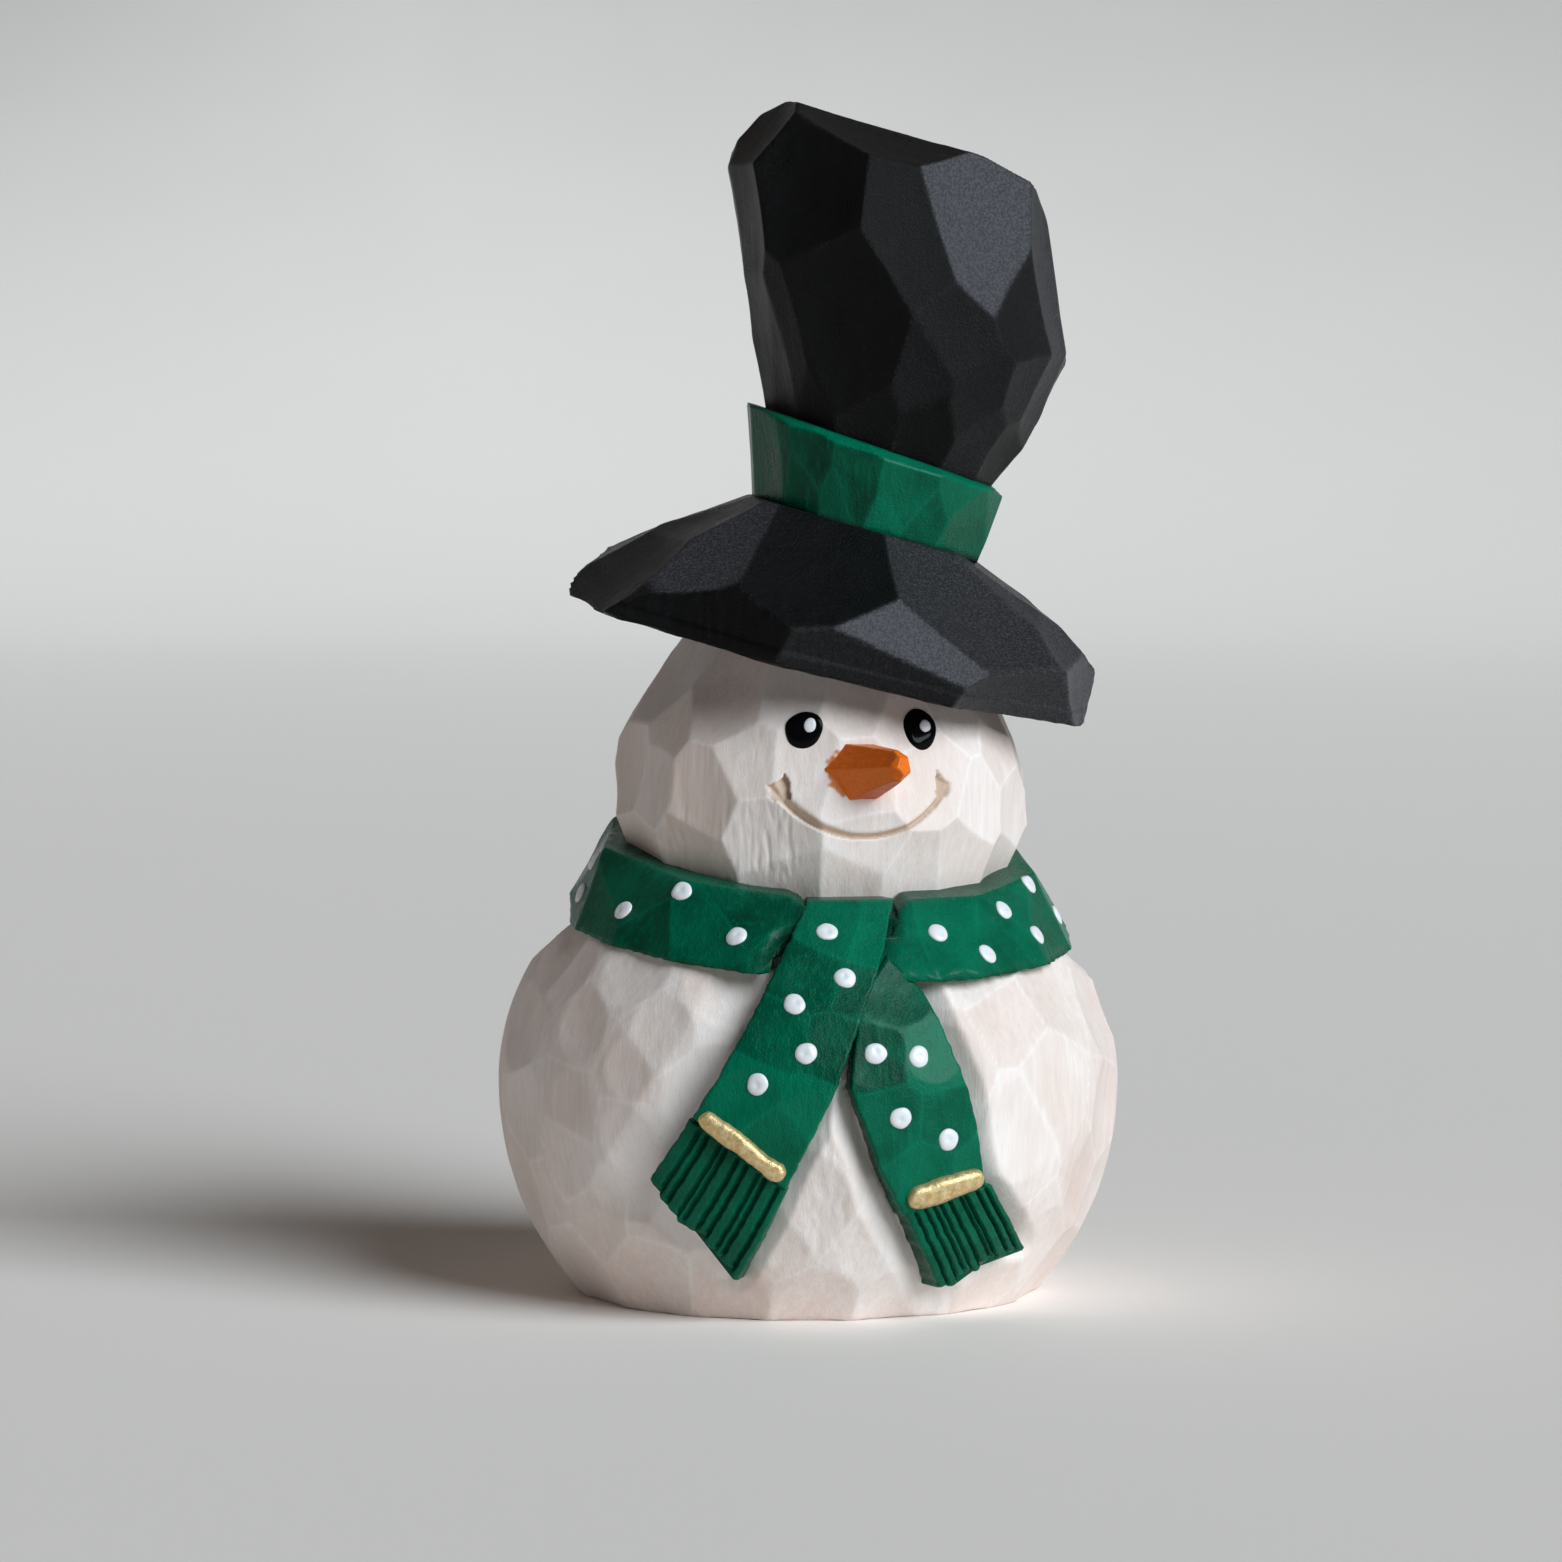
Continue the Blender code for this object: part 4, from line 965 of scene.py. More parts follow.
def hat_band():
    """The green band, bevelled along its top with a painted highlight on the bevel. It is painted dark where
    it meets the brim, a painted shade, and under the crown's ledge, black slop and painted shade both.
    """
    cuts = Cuts(8)
    # Tones of the band's cuts: painted shade on the facets at the left front, painted highlight on the right.
    tones = (0.3, 0.2, 0.0, 0.05, 0.45, 0.6, 0.5, 0.5, 0.4, 0.5, 0.3, 0.5, 0.4)
    surface = loft(BAND_RINGS)
    turns = (-86, -52, -30, -9, 17, 45, 72, 101, 131, 163, 196, 228, 254)
    cuts.scoops(surface, [(turn, 1.0) for turn in turns], 17.0, (260.0, 70.0), lean=6.0, depth=0.7,
                tones=tones)
    low = [(turn, 0.5) for turn in (-66, -38, -16, 12, 34, 58)]
    cuts.scoops(surface, low, 17.0, (90.0, 60.0), lean=50.0, depth=0.5, tones=(0.3, 0.1, 0.35, 0.7, 0.3, 0.6))
    # The bevel cuts take a high tone: a painted highlight along the top edge.
    chamfer = [(turn, 1.98) for turn in (-95, -65, -40, -17, 6, 33, 60, 88, 116, 147, 178, 210, 240)]
    points = surface(*np.array(chamfer, float).T)
    centre = points.mean(axis=0)
    for point in points:
        outward = unit((point - centre) * (1.0, 1.0, 0.0))
        cuts.add(point - outward * 0.5 - UP * 0.3, outward + 1.3 * UP, bends=(0.0, 0.004), tone=0.9)
    cuts.slope(*BAND_SEAT, above=False, shift=-LAP)
    cuts.slope(*HAT_SEAT)
    rays = ray_rows((8.0, 0, 99.0), (8.0, 0, 104.0), (9.0, 9.0), (0.31, 0.0, 1.0), 440, (10, 34, 34), 0.25)

    def roughen(points):
        foot = points[:, 2] - (BAND_SEAT[0] + BAND_SEAT[1] * points[:, 0])
        ledge = HAT_SEAT[0] + HAT_SEAT[1] * points[:, 0] - points[:, 2]
        # Near black at the foot on the brim, a painted shade, and under the crown's ledge, black slop and
        # painted shade both.
        dark = np.maximum(np.clip(1.0 - foot / 0.9, 0.0, 1.0), np.clip(1.0 - ledge / 0.25, 0.0, 0.95))
        return whittle_undulation(points, 19) * 0.7, dark

    return carved_hat_piece("hat_band_carved", cuts, rays, GREEN, "hat_band", roughen)


def hat_crown():
    """The crown: large flat facets in front and above, and smaller cuts round its foot and back."""
    cuts = Cuts(21, (0.0, 0.6))
    surface = loft(CROWN_RINGS)
    aims = {5: (6.0, 8.0, 0.35), 6: (27.0, 16.0, 0.15), 7: (44.0, 4.0, 0.35)}
    cuts.facets(surface, CROWN_FACETS, 42.0, (0.0, 6.0), CROWN_TONES, aims)
    cuts.profile(CROWN_PROFILE, (11.0, 125.0), 0.018)
    turns, levels, tones = zip(*CROWN_FOOT)
    cuts.scoops(surface, list(zip(turns, levels)), 18.0, (60.0, 30.0), lean=30.0, depth=0.75, tones=tones)
    back = rows_of_places((0.7, 1.9, 3.2, 4.5, 5.4), (6, 7, 7, 7, 5), (102.0, 258.0), cuts.chance)
    back = [(turn, np.clip(level, 0.4, 5.6)) for turn, level in back]
    cuts.scoops(surface, back, 18.0, (90.0, 45.0), depth=0.8)
    cuts.slope(*HAT_SEAT, above=False, shift=-LAP)
    cuts.slope(*HAT_TOP)
    rays = ray_rows((9.0, 0, 114.0), (10.0, 0, 139.0), (6.0, 6.0), (0.3, 0.0, 1.0), 440, (8, 46, 76), 0.25)

    def roughen(points):
        return whittle_undulation(points, 29), np.zeros(len(points))

    return carved_hat_piece("hat_crown_carved", cuts, rays, BLACK, "hat_crown", roughen)


# ------------------------------------------------------------------------- scarf
def scarf_wrap():
    """The wrap round the neck: a ring that leans on the head, pinched beside the upper tail."""
    cuts = Cuts(14)
    surface = loft(WRAP_RINGS)
    round_it = rows_of_places((0.8,), (19,), (-180.0, 180.0), cuts.chance)
    round_it = [(turn, 0.8 + cuts.chance.uniform(-0.25, 0.25)) for turn, _ in round_it]
    bevel = [(turn + 9.0, 1.8) for turn, _ in round_it[::2]]
    # Lower tones on the left of the wrap and higher on the right: painted shade away from the key, painted
    # highlight towards it.
    tones = [(0.25 if turn < 0.0 else 0.7) + cuts.chance.uniform(-0.25, 0.25)
             for turn, _ in round_it + bevel]
    cuts.scoops(surface, round_it, 33.0, (260.0, 160.0), lean=25.0, depth=0.38, tones=tones)
    cuts.scoops(surface, bevel, 33.0, (400.0, 400.0), lean=10.0, depth=0.11, tones=tones[len(round_it):])
    cuts.profile(WRAP_PROFILE, (0.0, 50.0), 0.012)
    cuts.slope(*SCARF_HEM, above=False)
    cuts.slope(*SCARF_TOP)
    even = TAU * np.arange(640) / 640
    turns = np.degrees(even - 0.35 * np.sin(even))
    middle = surface(turns, np.full(len(turns), 1.0))
    radial = unit(middle * (1.0, 1.0, 0.0))
    middle = middle - radial * 1.5
    tips = np.radians(np.linspace(-122.0, 152.0, 118))[:, None, None]
    origins = np.broadcast_to(middle, (len(tips), *middle.shape))
    shape = origins.shape
    directions = radial * np.cos(tips) + UP * np.sin(tips)
    origins, directions = turned(origins.reshape(-1, 3)), turned(directions.reshape(-1, 3))
    reach, ridge, tone = carve(cuts.turned(), origins, directions)
    reach = np.minimum(reach, 9.0)
    points = origins + directions * reach[:, None]
    x, y, z = points.T
    pinch = np.zeros(len(points))
    for path, width, depth in ((OVER_LEFT[:3], 2.2, 1.2), (OVER_RIGHT[:2], 2.2, 1.5)):
        near = 1.0 - path_distance(x, z, path) / width
        near = np.where(y < 0.0, np.clip(near, 0.0, 1.0), 0.0)
        pinch = np.maximum(pinch, depth * near * near * (3.0 - 2.0 * near))
    covered = in_outline(x, np.minimum(z, 51.5), OVER_LEFT + OVER_RIGHT[::-1])
    pinch = np.where(covered & (y < 0.0), 2.8, pinch)
    reach = reach - pinch - 0.8 * whittle_undulation(points, 33)
    edge = 0.12 * noise(points, (0.8, 0.8, 0.8), 35) * (directions[:, 2] < -0.5)
    points = origins + directions * np.maximum(reach - edge, 0.3)[:, None]
    # The pinch beside the upper tail and the top face under the head are painted dark through the trench
    # mark: painted shade.
    lean = np.broadcast_to(np.degrees(tips[..., 0]), shape[:2]).ravel()
    upper = np.clip((lean - 128.0) / 24.0, 0.0, 0.6)
    marks = {"ridge": ridge, "tone": tone, "trench": np.clip(pinch * 0.5, upper, 0.85)}
    return add_piece("scarf_wrap_carved", hoop_skin(points.reshape(shape)), GREEN, "scarf_wrap",
                     marks)


def wrap_front_radius(turn, height):
    """Radius of the wrap's smooth surface near its front."""
    side = np.sin(np.radians(turn - HAT_TURN))
    (_, left_z), (_, right_z), (_, front_z), _ = WRAP_RINGS[0]
    lift = side * side * ((left_z + right_z) / 2.0 - front_z) + side * (right_z - left_z) / 2.0
    (foot_y, foot_z), (waist_y, waist_z) = WRAP_RINGS[0][2], WRAP_RINGS[1][2]
    fronts = [(2.0 * foot_y - waist_y, 2.0 * foot_z - waist_z)] + [ring[2] for ring in WRAP_RINGS]
    fronts = [(3.0 * fronts[0][0] - 2.0 * foot_y, 3.0 * fronts[0][1] - 2.0 * foot_z)] + fronts
    return np.interp(height - lift, [z for _, z in fronts], [-y for y, _ in fronts])


def over_skin(turn, height):
    """Radius of the upper tail's surface: on the body below, and over the wrap above."""
    body = egg_radius(BODY, height) + TAIL_PROUD
    wrap = wrap_front_radius(turn, height) + TAIL_OVER_WRAP
    return -0.5 * np.log(np.exp(-body / 0.5) + np.exp(-wrap / 0.5))


def under_skin(turn, height):
    """Radius of the lower tail's surface."""
    return egg_radius(BODY, height) + UNDER_TAIL_PROUD + 0.0 * turn


def fringe_skin(turn, height):
    """Radius of the fringes' surface."""
    return egg_radius(BODY, height) + FRINGE_PROUD + 0.0 * turn


def round_edge(distance, radius):
    """How far a rounded edge falls below a face, at a distance in from the edge."""
    inner = np.clip(1.0 - distance / radius, 0.0, 1.0)
    return radius * (1.0 - np.sqrt(np.clip(1.0 - inner * inner, 0.0, 1.0)))


def strip(name, left, right, skin, finish, replaced, counts, cuts=None, comb=None, edge=0.4,
          root=3.2, ragged=None, seed=0):
    """A strip that lies on the body between a left and a right edge.

    The top is at the skin's radius from the axis, less what the cuts and the comb take
    away; the sides run down into the body by root.
    """
    across, down = counts
    shares = np.linspace(0.0, 1.0, down)
    left_points = along_path(left, shares)
    right_points = along_path(right, shares)
    for line, number in ((left_points, 81 + seed), (right_points, 181 + seed)):
        line[:, 0] += 0.13 * noise(np.insert(line, 1, 0.0, axis=1), 0.8, number)
    inset = np.linspace(0.0, 1.0, across)
    flat = left_points[:, None] + (right_points - left_points)[:, None] * inset[None, :, None]
    if ragged is not None:
        length = np.linalg.norm(left_points[-1] - left_points[0])
        run = (flat[-1] - flat[0]) / np.linalg.norm(flat[-1] - flat[0], axis=1, keepdims=True)
        flat = flat + run[None] * (ragged(inset)[None, :, None]) * (shares[:, None, None] ** 3)
    x, z = flat[..., 0], flat[..., 1]
    turn = np.degrees(np.arcsin(np.clip(x / skin(0.0 * x, z), -1.0, 1.0)))
    radius = skin(turn, z)
    turn = np.degrees(np.arcsin(np.clip(x / radius, -1.0, 1.0)))
    angle = np.radians(turn)
    outward = np.stack((np.sin(angle), -np.cos(angle), 0.0 * angle), -1)
    axis = np.stack((0.0 * z, 0.0 * z, z), -1)
    ridge = np.zeros(x.shape)
    tone = np.full(x.shape, 0.5)
    if cuts is not None:
        reach, ridge, tone = carve(cuts, axis.reshape(-1, 3), outward.reshape(-1, 3))
        radius = np.minimum(radius, reach.reshape(x.shape))
        ridge, tone = ridge.reshape(x.shape), tone.reshape(x.shape)
    width = np.linalg.norm(right_points - left_points, axis=1)[:, None]
    side = np.minimum(inset, 1.0 - inset)[None] * width
    length = np.linalg.norm(flat[-1] - flat[0], axis=1).mean()
    ends = np.minimum(shares, 1.0 - shares)[:, None] * length
    radius = radius - round_edge(side, edge) - round_edge(ends, edge)
    groove = np.zeros(x.shape)
    if comb is not None:
        groove = comb(inset)[None] * np.clip(ends / 0.5, 0.3, 1.0)
        radius = radius - groove
    top = axis + outward * radius[..., None]
    flat_top = top.reshape(-1, 3)
    lift = 0.7 * whittle_undulation(flat_top, 70 + seed).reshape(x.shape)
    top = top - outward * lift[..., None]
    floor = egg_radius(BODY, z) - root
    steps = (0.3, 0.65, 1.0)
    walls = []
    for column, order in ((-1, steps), (0, steps[::-1])):
        for share in order:
            depth = (radius[:, column] - floor[:, column]) * share
            walls.append(axis[:, column] + outward[:, column]
                         * (radius[:, column] - depth)[:, None])
    middle = [axis[:, column] + outward[:, column] * floor[:, column][:, None]
              for column in (across * 3 // 4, across // 2, across // 4)]
    loop = np.concatenate([top, *(wall[:, None] for wall in walls[:3]),
                           *(line[:, None] for line in middle),
                           *(wall[:, None] for wall in walls[3:])], axis=1)
    first = np.broadcast_to(loop[:1].mean(axis=1, keepdims=True), (1, loop.shape[1], 3))
    last = np.broadcast_to(loop[-1:].mean(axis=1, keepdims=True), (1, loop.shape[1], 3))
    loop = np.concatenate((first, loop, last))[:, ::-1]

    def laid(values, wall):
        """A value on the top, and a plain one on the walls, laid out as the loop is."""
        full = np.full(loop.shape[:2], wall)
        full[1:-1, loop.shape[1] - across:] = values[:, ::-1]
        return ends_to_points(full)

    # On the green, the walls are painted half dark and the fringe grooves darker through the trench mark:
    # painted shade.
    marks = {"ridge": laid(ridge, 0.0), "tone": laid(tone, 0.5),
             "trench": laid(np.clip(groove * 0.9, 0.0, 0.9), 0.45)}
    return add_piece(name, closed_skin(loop), finish, replaced, marks, sharp=52.0)


def tail_cuts(seed, skin, places):
    """Long shallow cuts down a tail."""
    cuts = Cuts(seed)

    def surface(turn, height):
        radius = skin(turn, height)
        angle = np.radians(turn)
        return np.stack((radius * np.sin(angle), -radius * np.cos(angle), height + 0.0 * angle), -1)

    cuts.scoops(surface, places, 34.0, (110.0, 60.0), lean=30.0, tilt=2.5, depth=0.5)
    return cuts


def comb_of(strands, depth, seed):
    """Cut grooves between the strands of a fringe, and the strands' uneven ends."""
    chance = np.random.default_rng(seed)
    edges = (np.arange(strands + 1) + np.r_[0.0, chance.uniform(-0.22, 0.22, strands - 1), 0.0]) / strands
    depths = np.r_[0.2, chance.uniform(0.75, 1.15, strands - 1), 0.2] * depth
    lengths = chance.uniform(-0.9, 0.5, strands)

    def comb(inset):
        total = np.zeros(len(inset))
        for spot, deep in zip(edges, depths):
            total = np.maximum(total, deep * np.clip(1.0 - np.abs(inset - spot) * strands / 0.3, 0.0, 1.0))
        return total

    def ragged(inset):
        strand = np.clip(np.searchsorted(edges, inset) - 1, 0, strands - 1)
        within = (inset - edges[strand]) / (edges[strand + 1] - edges[strand])
        return lengths[strand] - 0.9 * np.abs(within - 0.5) ** 1.5

    return comb, ragged


def scarf_tails():
    over = tail_cuts(41, over_skin, ((-6, 48.5), (3, 47.0), (-10, 42.0), (-1, 40.5), (-17, 35.5),
                                     (-8, 34.5), (-24, 29.0), (-13, 27.0), (-18, 21.5)))
    under = tail_cuts(43, under_skin, ((4, 41.0), (0, 34.0), (10, 33.5), (3, 26.5), (13, 25.5),
                                       (10, 18.0), (19, 19.5)))
    pieces = {
        "scarf_tail_under": strip("scarf_tail_under_carved", UNDER_LEFT, UNDER_RIGHT, under_skin, GREEN,
                                  "scarf_tail_under", (76, 190), under, seed=1),
        "scarf_tail_over": strip("scarf_tail_over_carved", OVER_LEFT, OVER_RIGHT, over_skin, GREEN,
                                 "scarf_tail_over", (84, 240), over, seed=2)}
    for label, (left, right), seed in (("over", OVER_FRINGE, 4), ("under", UNDER_FRINGE, 7)):
        comb, ragged = comb_of(10, 0.62, seed)
        strip(f"fringe_{label}_carved", left, right, fringe_skin, GREEN, f"fringe_{label}",
              (190, 90), comb=comb, ragged=ragged, edge=0.3, seed=seed)
    return pieces


def gold_stripe(name, replaced, ends, skin):
    """A thick bar of gold paint across a tail, uneven along its edges."""
    (ax, az), (bx, bz), half = ends
    shares = np.linspace(0.0, 1.0, 120)
    length = math.hypot(bx - ax, bz - az)
    away = np.minimum(shares, 1.0 - shares) * length
    round_end = np.sqrt(np.clip(1.0 - (1.0 - np.clip(away / half, 0.0, 1.0)) ** 2, 0.0, 1.0))
    spots = np.stack((shares * length, 0.0 * shares, 0.0 * shares), -1)
    widths = half * (0.3 + 0.7 * round_end) * (1.0 + 0.10 * noise(spots, 2.2, 81))
    drift = 0.12 * noise(spots, 3.0, 83)
    down_x, down_z = -(bz - az) / length, (bx - ax) / length
    x, z = ax + (bx - ax) * shares, az + (bz - az) * shares
    upper = list(zip(x + down_x * (widths + drift), z + down_z * (widths + drift)))
    lower = list(zip(x - down_x * (widths - drift), z - down_z * (widths - drift)))

    def raised(turn, height):
        return skin(turn, height) + STRIPE_PROUD

    return strip(name, upper, lower, raised, GOLD, replaced, (44, 120), edge=half * 0.8,
                 root=-0.6, seed=9)


# -------------------------------------------------------------------------- nose
def carrot_nose():
    """A short whittled carrot with a peg behind it, pointing past the figure's left."""
    root, length = np.array(NOSE_ROOT), NOSE_LENGTH
    angle, rise = math.radians(NOSE_TURN), math.radians(NOSE_RISE)
    axis = np.array((math.sin(angle) * math.cos(rise), -math.cos(angle) * math.cos(rise), math.sin(rise)))
    side = unit(np.cross(UP, axis))
    up = np.cross(axis, side)
    cuts = Cuts(2)

    def round_it(spin):
        return side * math.cos(math.radians(spin)) + up * math.sin(math.radians(spin))

    for step, (spin, tone) in enumerate(NOSE_SIDES):
        outward = round_it(spin)
        slant = 0.20 + 0.05 * (step % 2)
        out = 2.6 + 0.5 * min(0.0, math.cos(math.radians(spin)))
        cuts.add(root + axis * 0.45 * length + outward * out, outward + axis * slant,
                 stroke=axis, bends=(0.004, 0.012), tone=tone)
    for spin, tone in NOSE_TIP:
        outward = round_it(spin)
        cuts.add(root + axis * 0.84 * length + outward * 1.9, outward + axis * 0.75,
                 stroke=axis, bends=(0.004, 0.012), tone=tone)
    cuts.add(root + axis * length, axis + 0.25 * side, stroke=side, tone=0.8)
    cuts.add(root - axis * 8.0, -axis, stroke=side, tone=0.5)
    columns, start, end = 150, -7.2, length - 1.6
    turns = TAU * np.arange(columns) / columns
    radial = np.cos(turns)[:, None] * side + np.sin(turns)[:, None] * up
    stations = [(start, -90.0 + 15.0 * k) for k in range(7)]
    stations += [(start + (end - start) * (k + 1) / 120, 0.0) for k in range(120)]
    stations += [(end, 90.0 * (k + 1) / 26) for k in range(26)]
    rows = [(root + axis * place, tip) for place, tip in stations]
    origins, directions, layout = rays_from(rows, radial, axis)
    reach, ridge, tone = carve(cuts, origins, directions, soft=0.05)
    peg = (origins - root) @ axis < -2.2
    reach = np.where(peg, np.minimum(reach, PEG_RADIUS), reach)
    points = origins + directions * reach[:, None]
    reach = reach - 0.06 * noise(points, 1.5, 91) - 0.03 * noise(points, 0.5, 93)
    skin, marks = closed_form(origins + directions * reach[:, None], layout, ridge=ridge, tone=tone)
    return add_piece("carrot_nose_carved", skin, ORANGE, "carrot_nose", marks)


# ------------------------------------------------------------------- paint drops
def seat_of(node):
    """Middle, outward direction and radius of a round CAD drop, in millimetres."""
    points = np.array([vertex.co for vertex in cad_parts[node].data.vertices]) / MM
    middle = points.mean(axis=0)
    normal = np.linalg.svd(points - middle)[2][-1]
    spread = np.linalg.norm(points - middle, axis=1).max()
    if normal @ (middle * (1.0, 1.0, 0.0)) < 0.0:
        normal = -normal
    return middle, normal, spread


def tree_of(piece):
    """A search tree over a piece's mesh."""
    mesh = piece.data
    return BVHTree.FromPolygons([vertex.co[:] for vertex in mesh.vertices],
                                [polygon.vertices[:] for polygon in mesh.polygons])


def paint_drop(name, node, host, finish, height, seed, oval=(1.0, 1.0), shift=(0.0, 0.0), dimple=0.25):
    """A drop of thick paint that settled on the piece under it: round, domed, slightly sunken."""
    middle, normal, radius = seat_of(node)
    chance = np.random.default_rng(seed)
    side = unit(np.cross(UP, normal))
    rise = np.cross(normal, side)
    middle = middle + side * shift[0] + rise * shift[1]
    phases = chance.uniform(0.0, TAU, 3)
    off = chance.uniform(-0.25, 0.25, 2)
    columns = 40
    turns = TAU * np.arange(columns) / columns
    rim = 1.0 + sum(size * np.cos(times * turns + phase)
                    for times, size, phase in zip((2, 3, 5), (0.035, 0.02, 0.012), phases))
    rows = [(0.0, -0.5, False), (0.6, -0.5, False), (0.97, -0.4, False), (1.0, 0.0, False)]
    rows += [(share, math.sqrt(1.0 - share ** 2.6), True)
             for share in (0.985, 0.95, 0.9, 0.82, 0.72, 0.6, 0.48, 0.36, 0.24, 0.12, 0.0)]
    points = np.empty((len(rows), columns, 3))
    for row, (share, lift, top) in enumerate(rows):
        for column, turn in enumerate(turns):
            a = math.cos(turn) * share * rim[column] * oval[0]
            b = math.sin(turn) * share * rim[column] * oval[1]
            spot = middle + side * a * radius + rise * b * radius
            above = Vector((spot + normal * 4.0) * MM)
            hit = host.ray_cast(above, Vector(-normal), 9.0 * MM)[0]
            ground = np.array(hit) / MM if hit else spot
            sag = dimple * math.exp(-((a - off[0]) ** 2 + (b - off[1]) ** 2) / 0.09) if top else 0.0
            points[row, column] = ground + normal * height * (lift - sag)
    return add_piece(name, closed_skin(points), finish, node)


def scarf_dots(tails, wrap):
    """The white dots: first those on the upper tail, then the lower tail's and the wrap's."""
    hosts = ((tails["scarf_tail_over"], OVER_DOTS), (tails["scarf_tail_under"], UNDER_DOTS),
             (wrap, WRAP_DOTS))
    trees = [tree for piece, count in hosts for tree in [tree_of(piece)] * count]
    for number, host in enumerate(trees, 1):
        node = f"scarf_dot_{number:02d}"
        paint_drop(f"{node}_drop", node, host, WHITE, 0.42, 100 + number)


def eyes(head):
    """The two black eyes, and the white glint on each."""
    host = tree_of(head)
    for side, oval, glint_shift in (("right", (1.0, 0.93), (0.8, 0.15)), ("left", (0.94, 1.06), (0.55, 0.3))):
        eye = paint_drop(f"eye_{side}_drop", f"eye_{side}", host, GLOSS, 0.55,
                         7, oval, EYE_SHIFT, dimple=0.0)
        paint_drop(f"eye_glint_{side}_drop", f"eye_glint_{side}", tree_of(eye), WHITE,
                   0.26, 9, (0.95, 1.05), glint_shift, dimple=0.1)


# --------------------------------------------------------- camera, light and stage
CAMERA_TURN = -12.0
CAMERA_DISTANCE = 0.750
CAMERA_HEIGHT = 0.1108
CAMERA_SIDE = -0.00341               # how far the view is centred left of the figure's axis
AIM_HEIGHT = 0.06441
LENS = 136.86
SENSOR = 36.0
KEY_TURN = 36.5
KEY_RISE = 31.5
KEY_STRENGTH = 3.45
KEY_WIDTH = 40.0                     # degrees across, as the figure sees it
KEY_COLOUR = (0.83, 0.935, 1.0)
FILL_COLOUR = (1.0, 0.86, 0.76, 1.0)
FILL_SPREAD = (-0.5, 0.6, 0.01, 0.122)    # the fill grows from the front to the back of the room


def camera():
    """The camera, level with the top of the hat's band and a little round to the figure's right."""
    angle = math.radians(CAMERA_TURN)
    right = Vector((math.cos(angle), math.sin(angle), 0.0))
    back = Vector((math.sin(angle), -math.cos(angle), 0.0))
    data = bpy.data.cameras.new("camera")
    data.lens = LENS
    data.sensor_width = SENSOR
    made = bpy.data.objects.new("camera", data)
    made.location = right * CAMERA_SIDE + back * CAMERA_DISTANCE + Vector((0.0, 0.0, CAMERA_HEIGHT))
    aim = right * CAMERA_SIDE + Vector((0.0, 0.0, AIM_HEIGHT))
    made.rotation_euler = (aim - made.location).to_track_quat("-Z", "Y").to_euler()
    bpy.context.collection.objects.link(made)
    bpy.context.scene.camera = made


def lights():
    """A broad cool key from the right, and a warm fill that grows from the front to the back of the room."""
    sun = bpy.data.lights.new("key", "SUN")
    sun.energy = KEY_STRENGTH
    sun.angle = math.radians(KEY_WIDTH)
    sun.color = KEY_COLOUR
    key = bpy.data.objects.new("key", sun)
    turn, rise = math.radians(KEY_TURN), math.radians(KEY_RISE)
    towards = Vector((math.sin(turn) * math.cos(rise), -math.cos(turn) * math.cos(rise), math.sin(rise)))
    key.rotation_euler = towards.to_track_quat("Z", "Y").to_euler()
    bpy.context.collection.objects.link(key)
    world = bpy.data.worlds.new("fill")
    world.use_nodes = True
    nodes, links = world.node_tree.nodes, world.node_tree.links
    place = nodes.new("ShaderNodeTexCoord").outputs["Generated"]
    split = nodes.new("ShaderNodeSeparateXYZ")
    spread = nodes.new("ShaderNodeMapRange")
    links.new(place, split.inputs[0])
    links.new(split.outputs["Y"], spread.inputs["Value"])
    for socket, value in zip(spread.inputs[1:5], FILL_SPREAD):
        socket.default_value = value
    shade = nodes["Background"]
    shade.inputs["Color"].default_value = FILL_COLOUR
    links.new(spread.outputs[0], shade.inputs["Strength"])
    bpy.context.scene.world = world


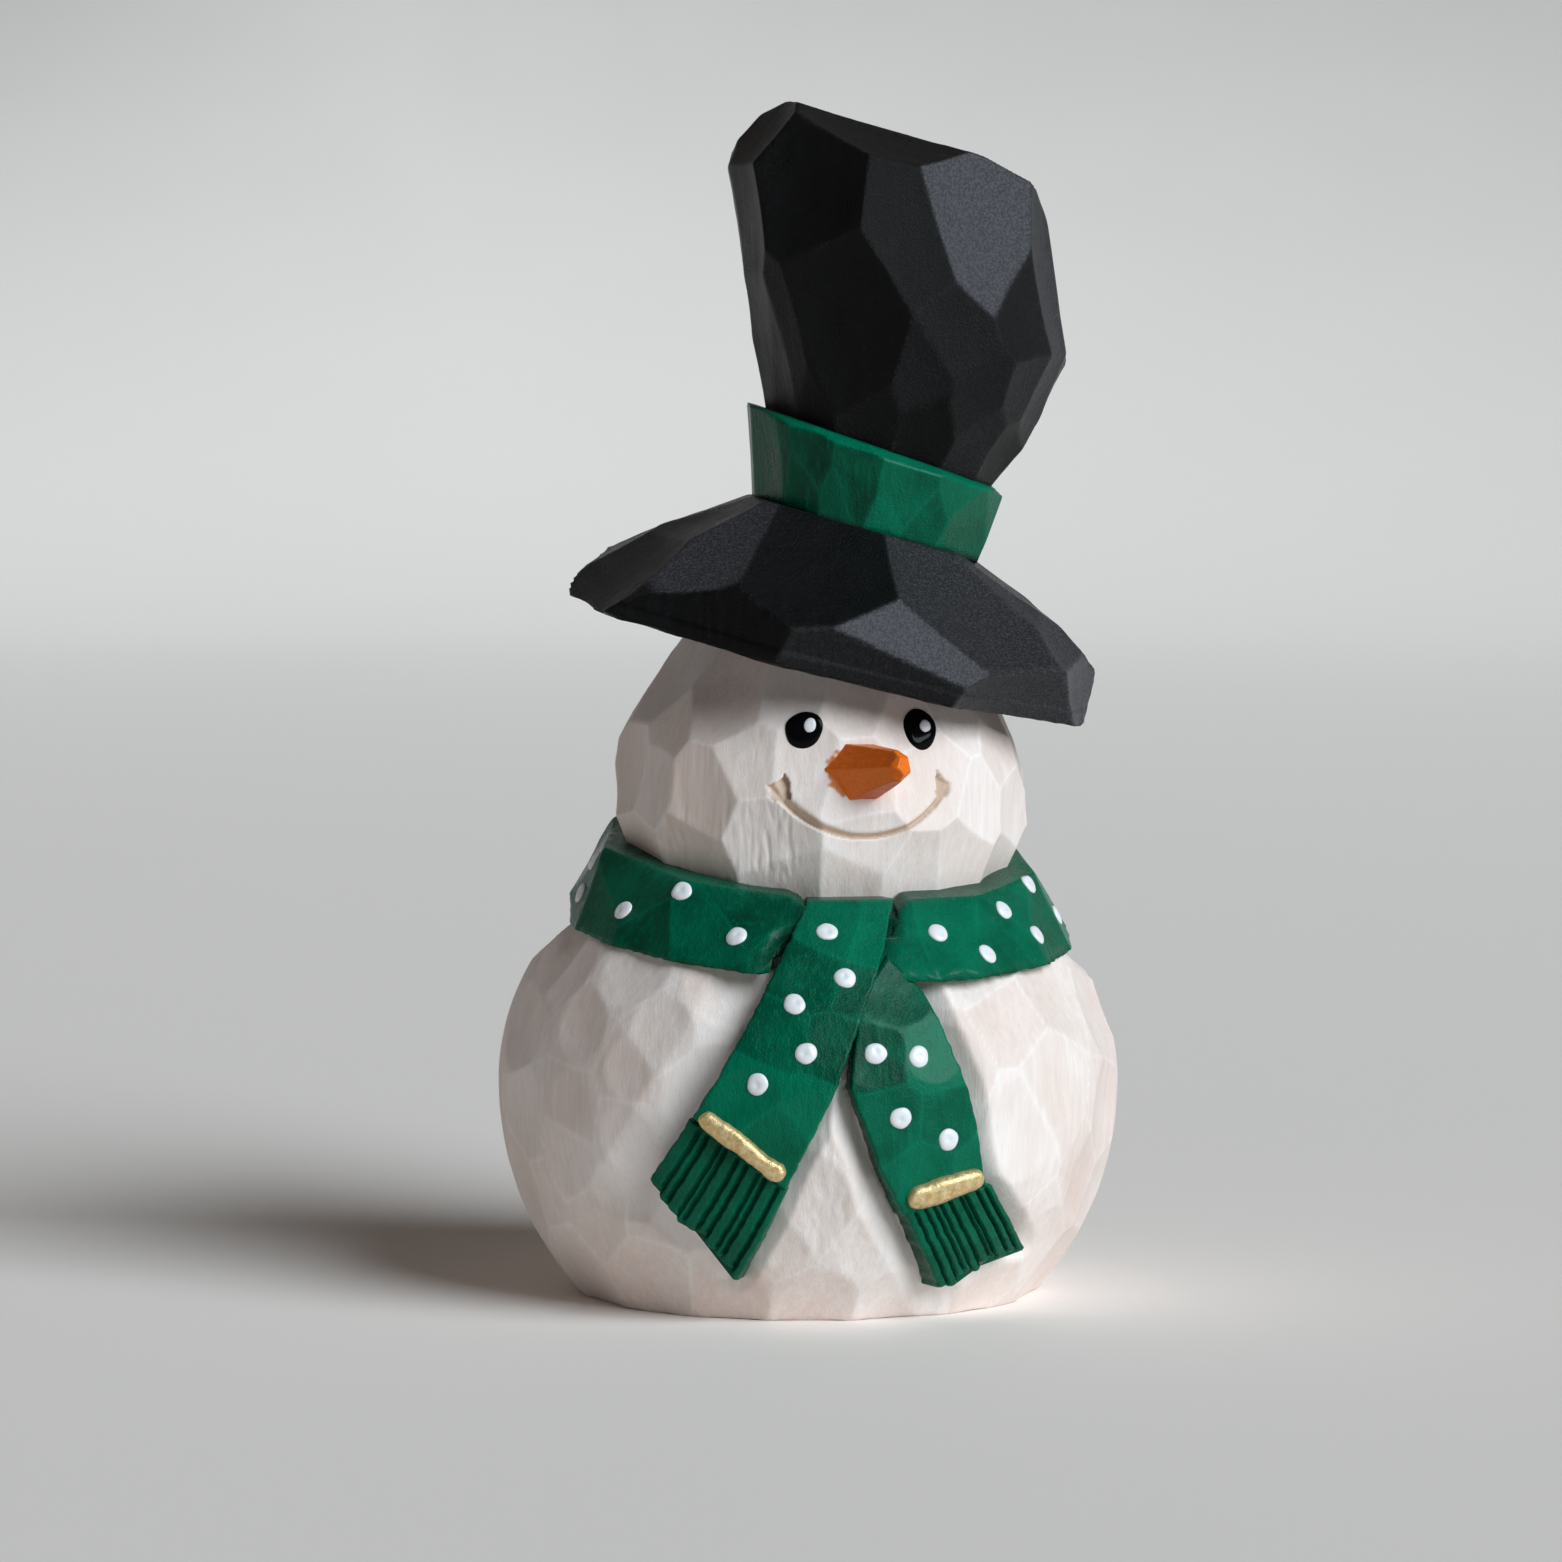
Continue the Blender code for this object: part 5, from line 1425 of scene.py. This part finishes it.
def stage():
    """A pale paper floor that sweeps up into a low wall behind and at the sides."""
    made = Finish("pale_paper")
    cloud = made.noise((90.0, 90.0, 90.0), 2.0)
    high = made.nodes.new("ShaderNodeSeparateXYZ")
    made.links.new(made.place, high.inputs[0])
    # Painted shade: the paper, and far more the wall, are painted darker towards the left, and the wall
    # darker than the floor.
    sides = made.total(made.span(high.outputs["X"], -0.35, 0.35, 0.0, 0.9), made.times(cloud, 0.1))
    paper = made.mix(sides, (0.93, 0.855, 0.805), (0.99, 0.915, 0.865))
    wall = made.mix(sides, (0.235, 0.215, 0.203), (0.675, 0.62, 0.585))
    made.colour(made.mix(made.span(high.outputs["Z"], 0.0, 0.35), paper, wall))
    made.fixed(roughness=0.8)
    flat, curve, columns, bends = 2.0, 1.0, 96, 14
    profile = [(flat * share, 0.0) for share in (0.0, 0.1, 0.4, 1.0)]
    profile += [(flat + curve * math.sin(step), curve * (1.0 - math.cos(step)))
                for step in np.radians(np.linspace(6.0, 90.0, bends))]
    turns = TAU * np.arange(columns) / columns
    wall = np.clip((0.75 - np.cos(turns)) / 0.75, 0.0, 1.0)
    rows = [np.stack((out * np.sin(turns), -out * np.cos(turns), height * wall), -1)
            for out, height in profile]
    verts = np.concatenate(([rows[0][0]], *rows[1:]))
    ring = 1 + np.arange((len(rows) - 1) * columns).reshape(-1, columns)
    after = np.roll(ring, -1, axis=1)
    faces = [(0, a, b) for a, b in zip(ring[0].tolist(), after[0].tolist())]
    faces += np.stack((ring[:-1], ring[1:], after[1:], after[:-1]), -1).reshape(-1, 4).tolist()
    mesh = bpy.data.meshes.new("sweep")
    mesh.from_pydata(verts.tolist(), [], faces)
    mesh.shade_smooth()
    mesh.materials.append(made.material)
    sweep = bpy.data.objects.new("sweep", mesh)
    bpy.context.collection.objects.link(sweep)


camera()
lights()
stage()
bpy.context.scene.view_settings.view_transform = "Standard"

snow_body()
head = snow_head()
hat_brim()
hat_band()
hat_crown()
wrap = scarf_wrap()
tails = scarf_tails()
gold_stripe("gold_stripe_over_bar", "gold_stripe_over", OVER_STRIPE, over_skin)
gold_stripe("gold_stripe_under_bar", "gold_stripe_under", UNDER_STRIPE, under_skin)
carrot_nose()
scarf_dots(tails, wrap)
eyes(head)
for node in ("neck_dowel", "hat_dowel"):
    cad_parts[node].data.materials.clear()
    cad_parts[node].data.materials.append(DOWEL)
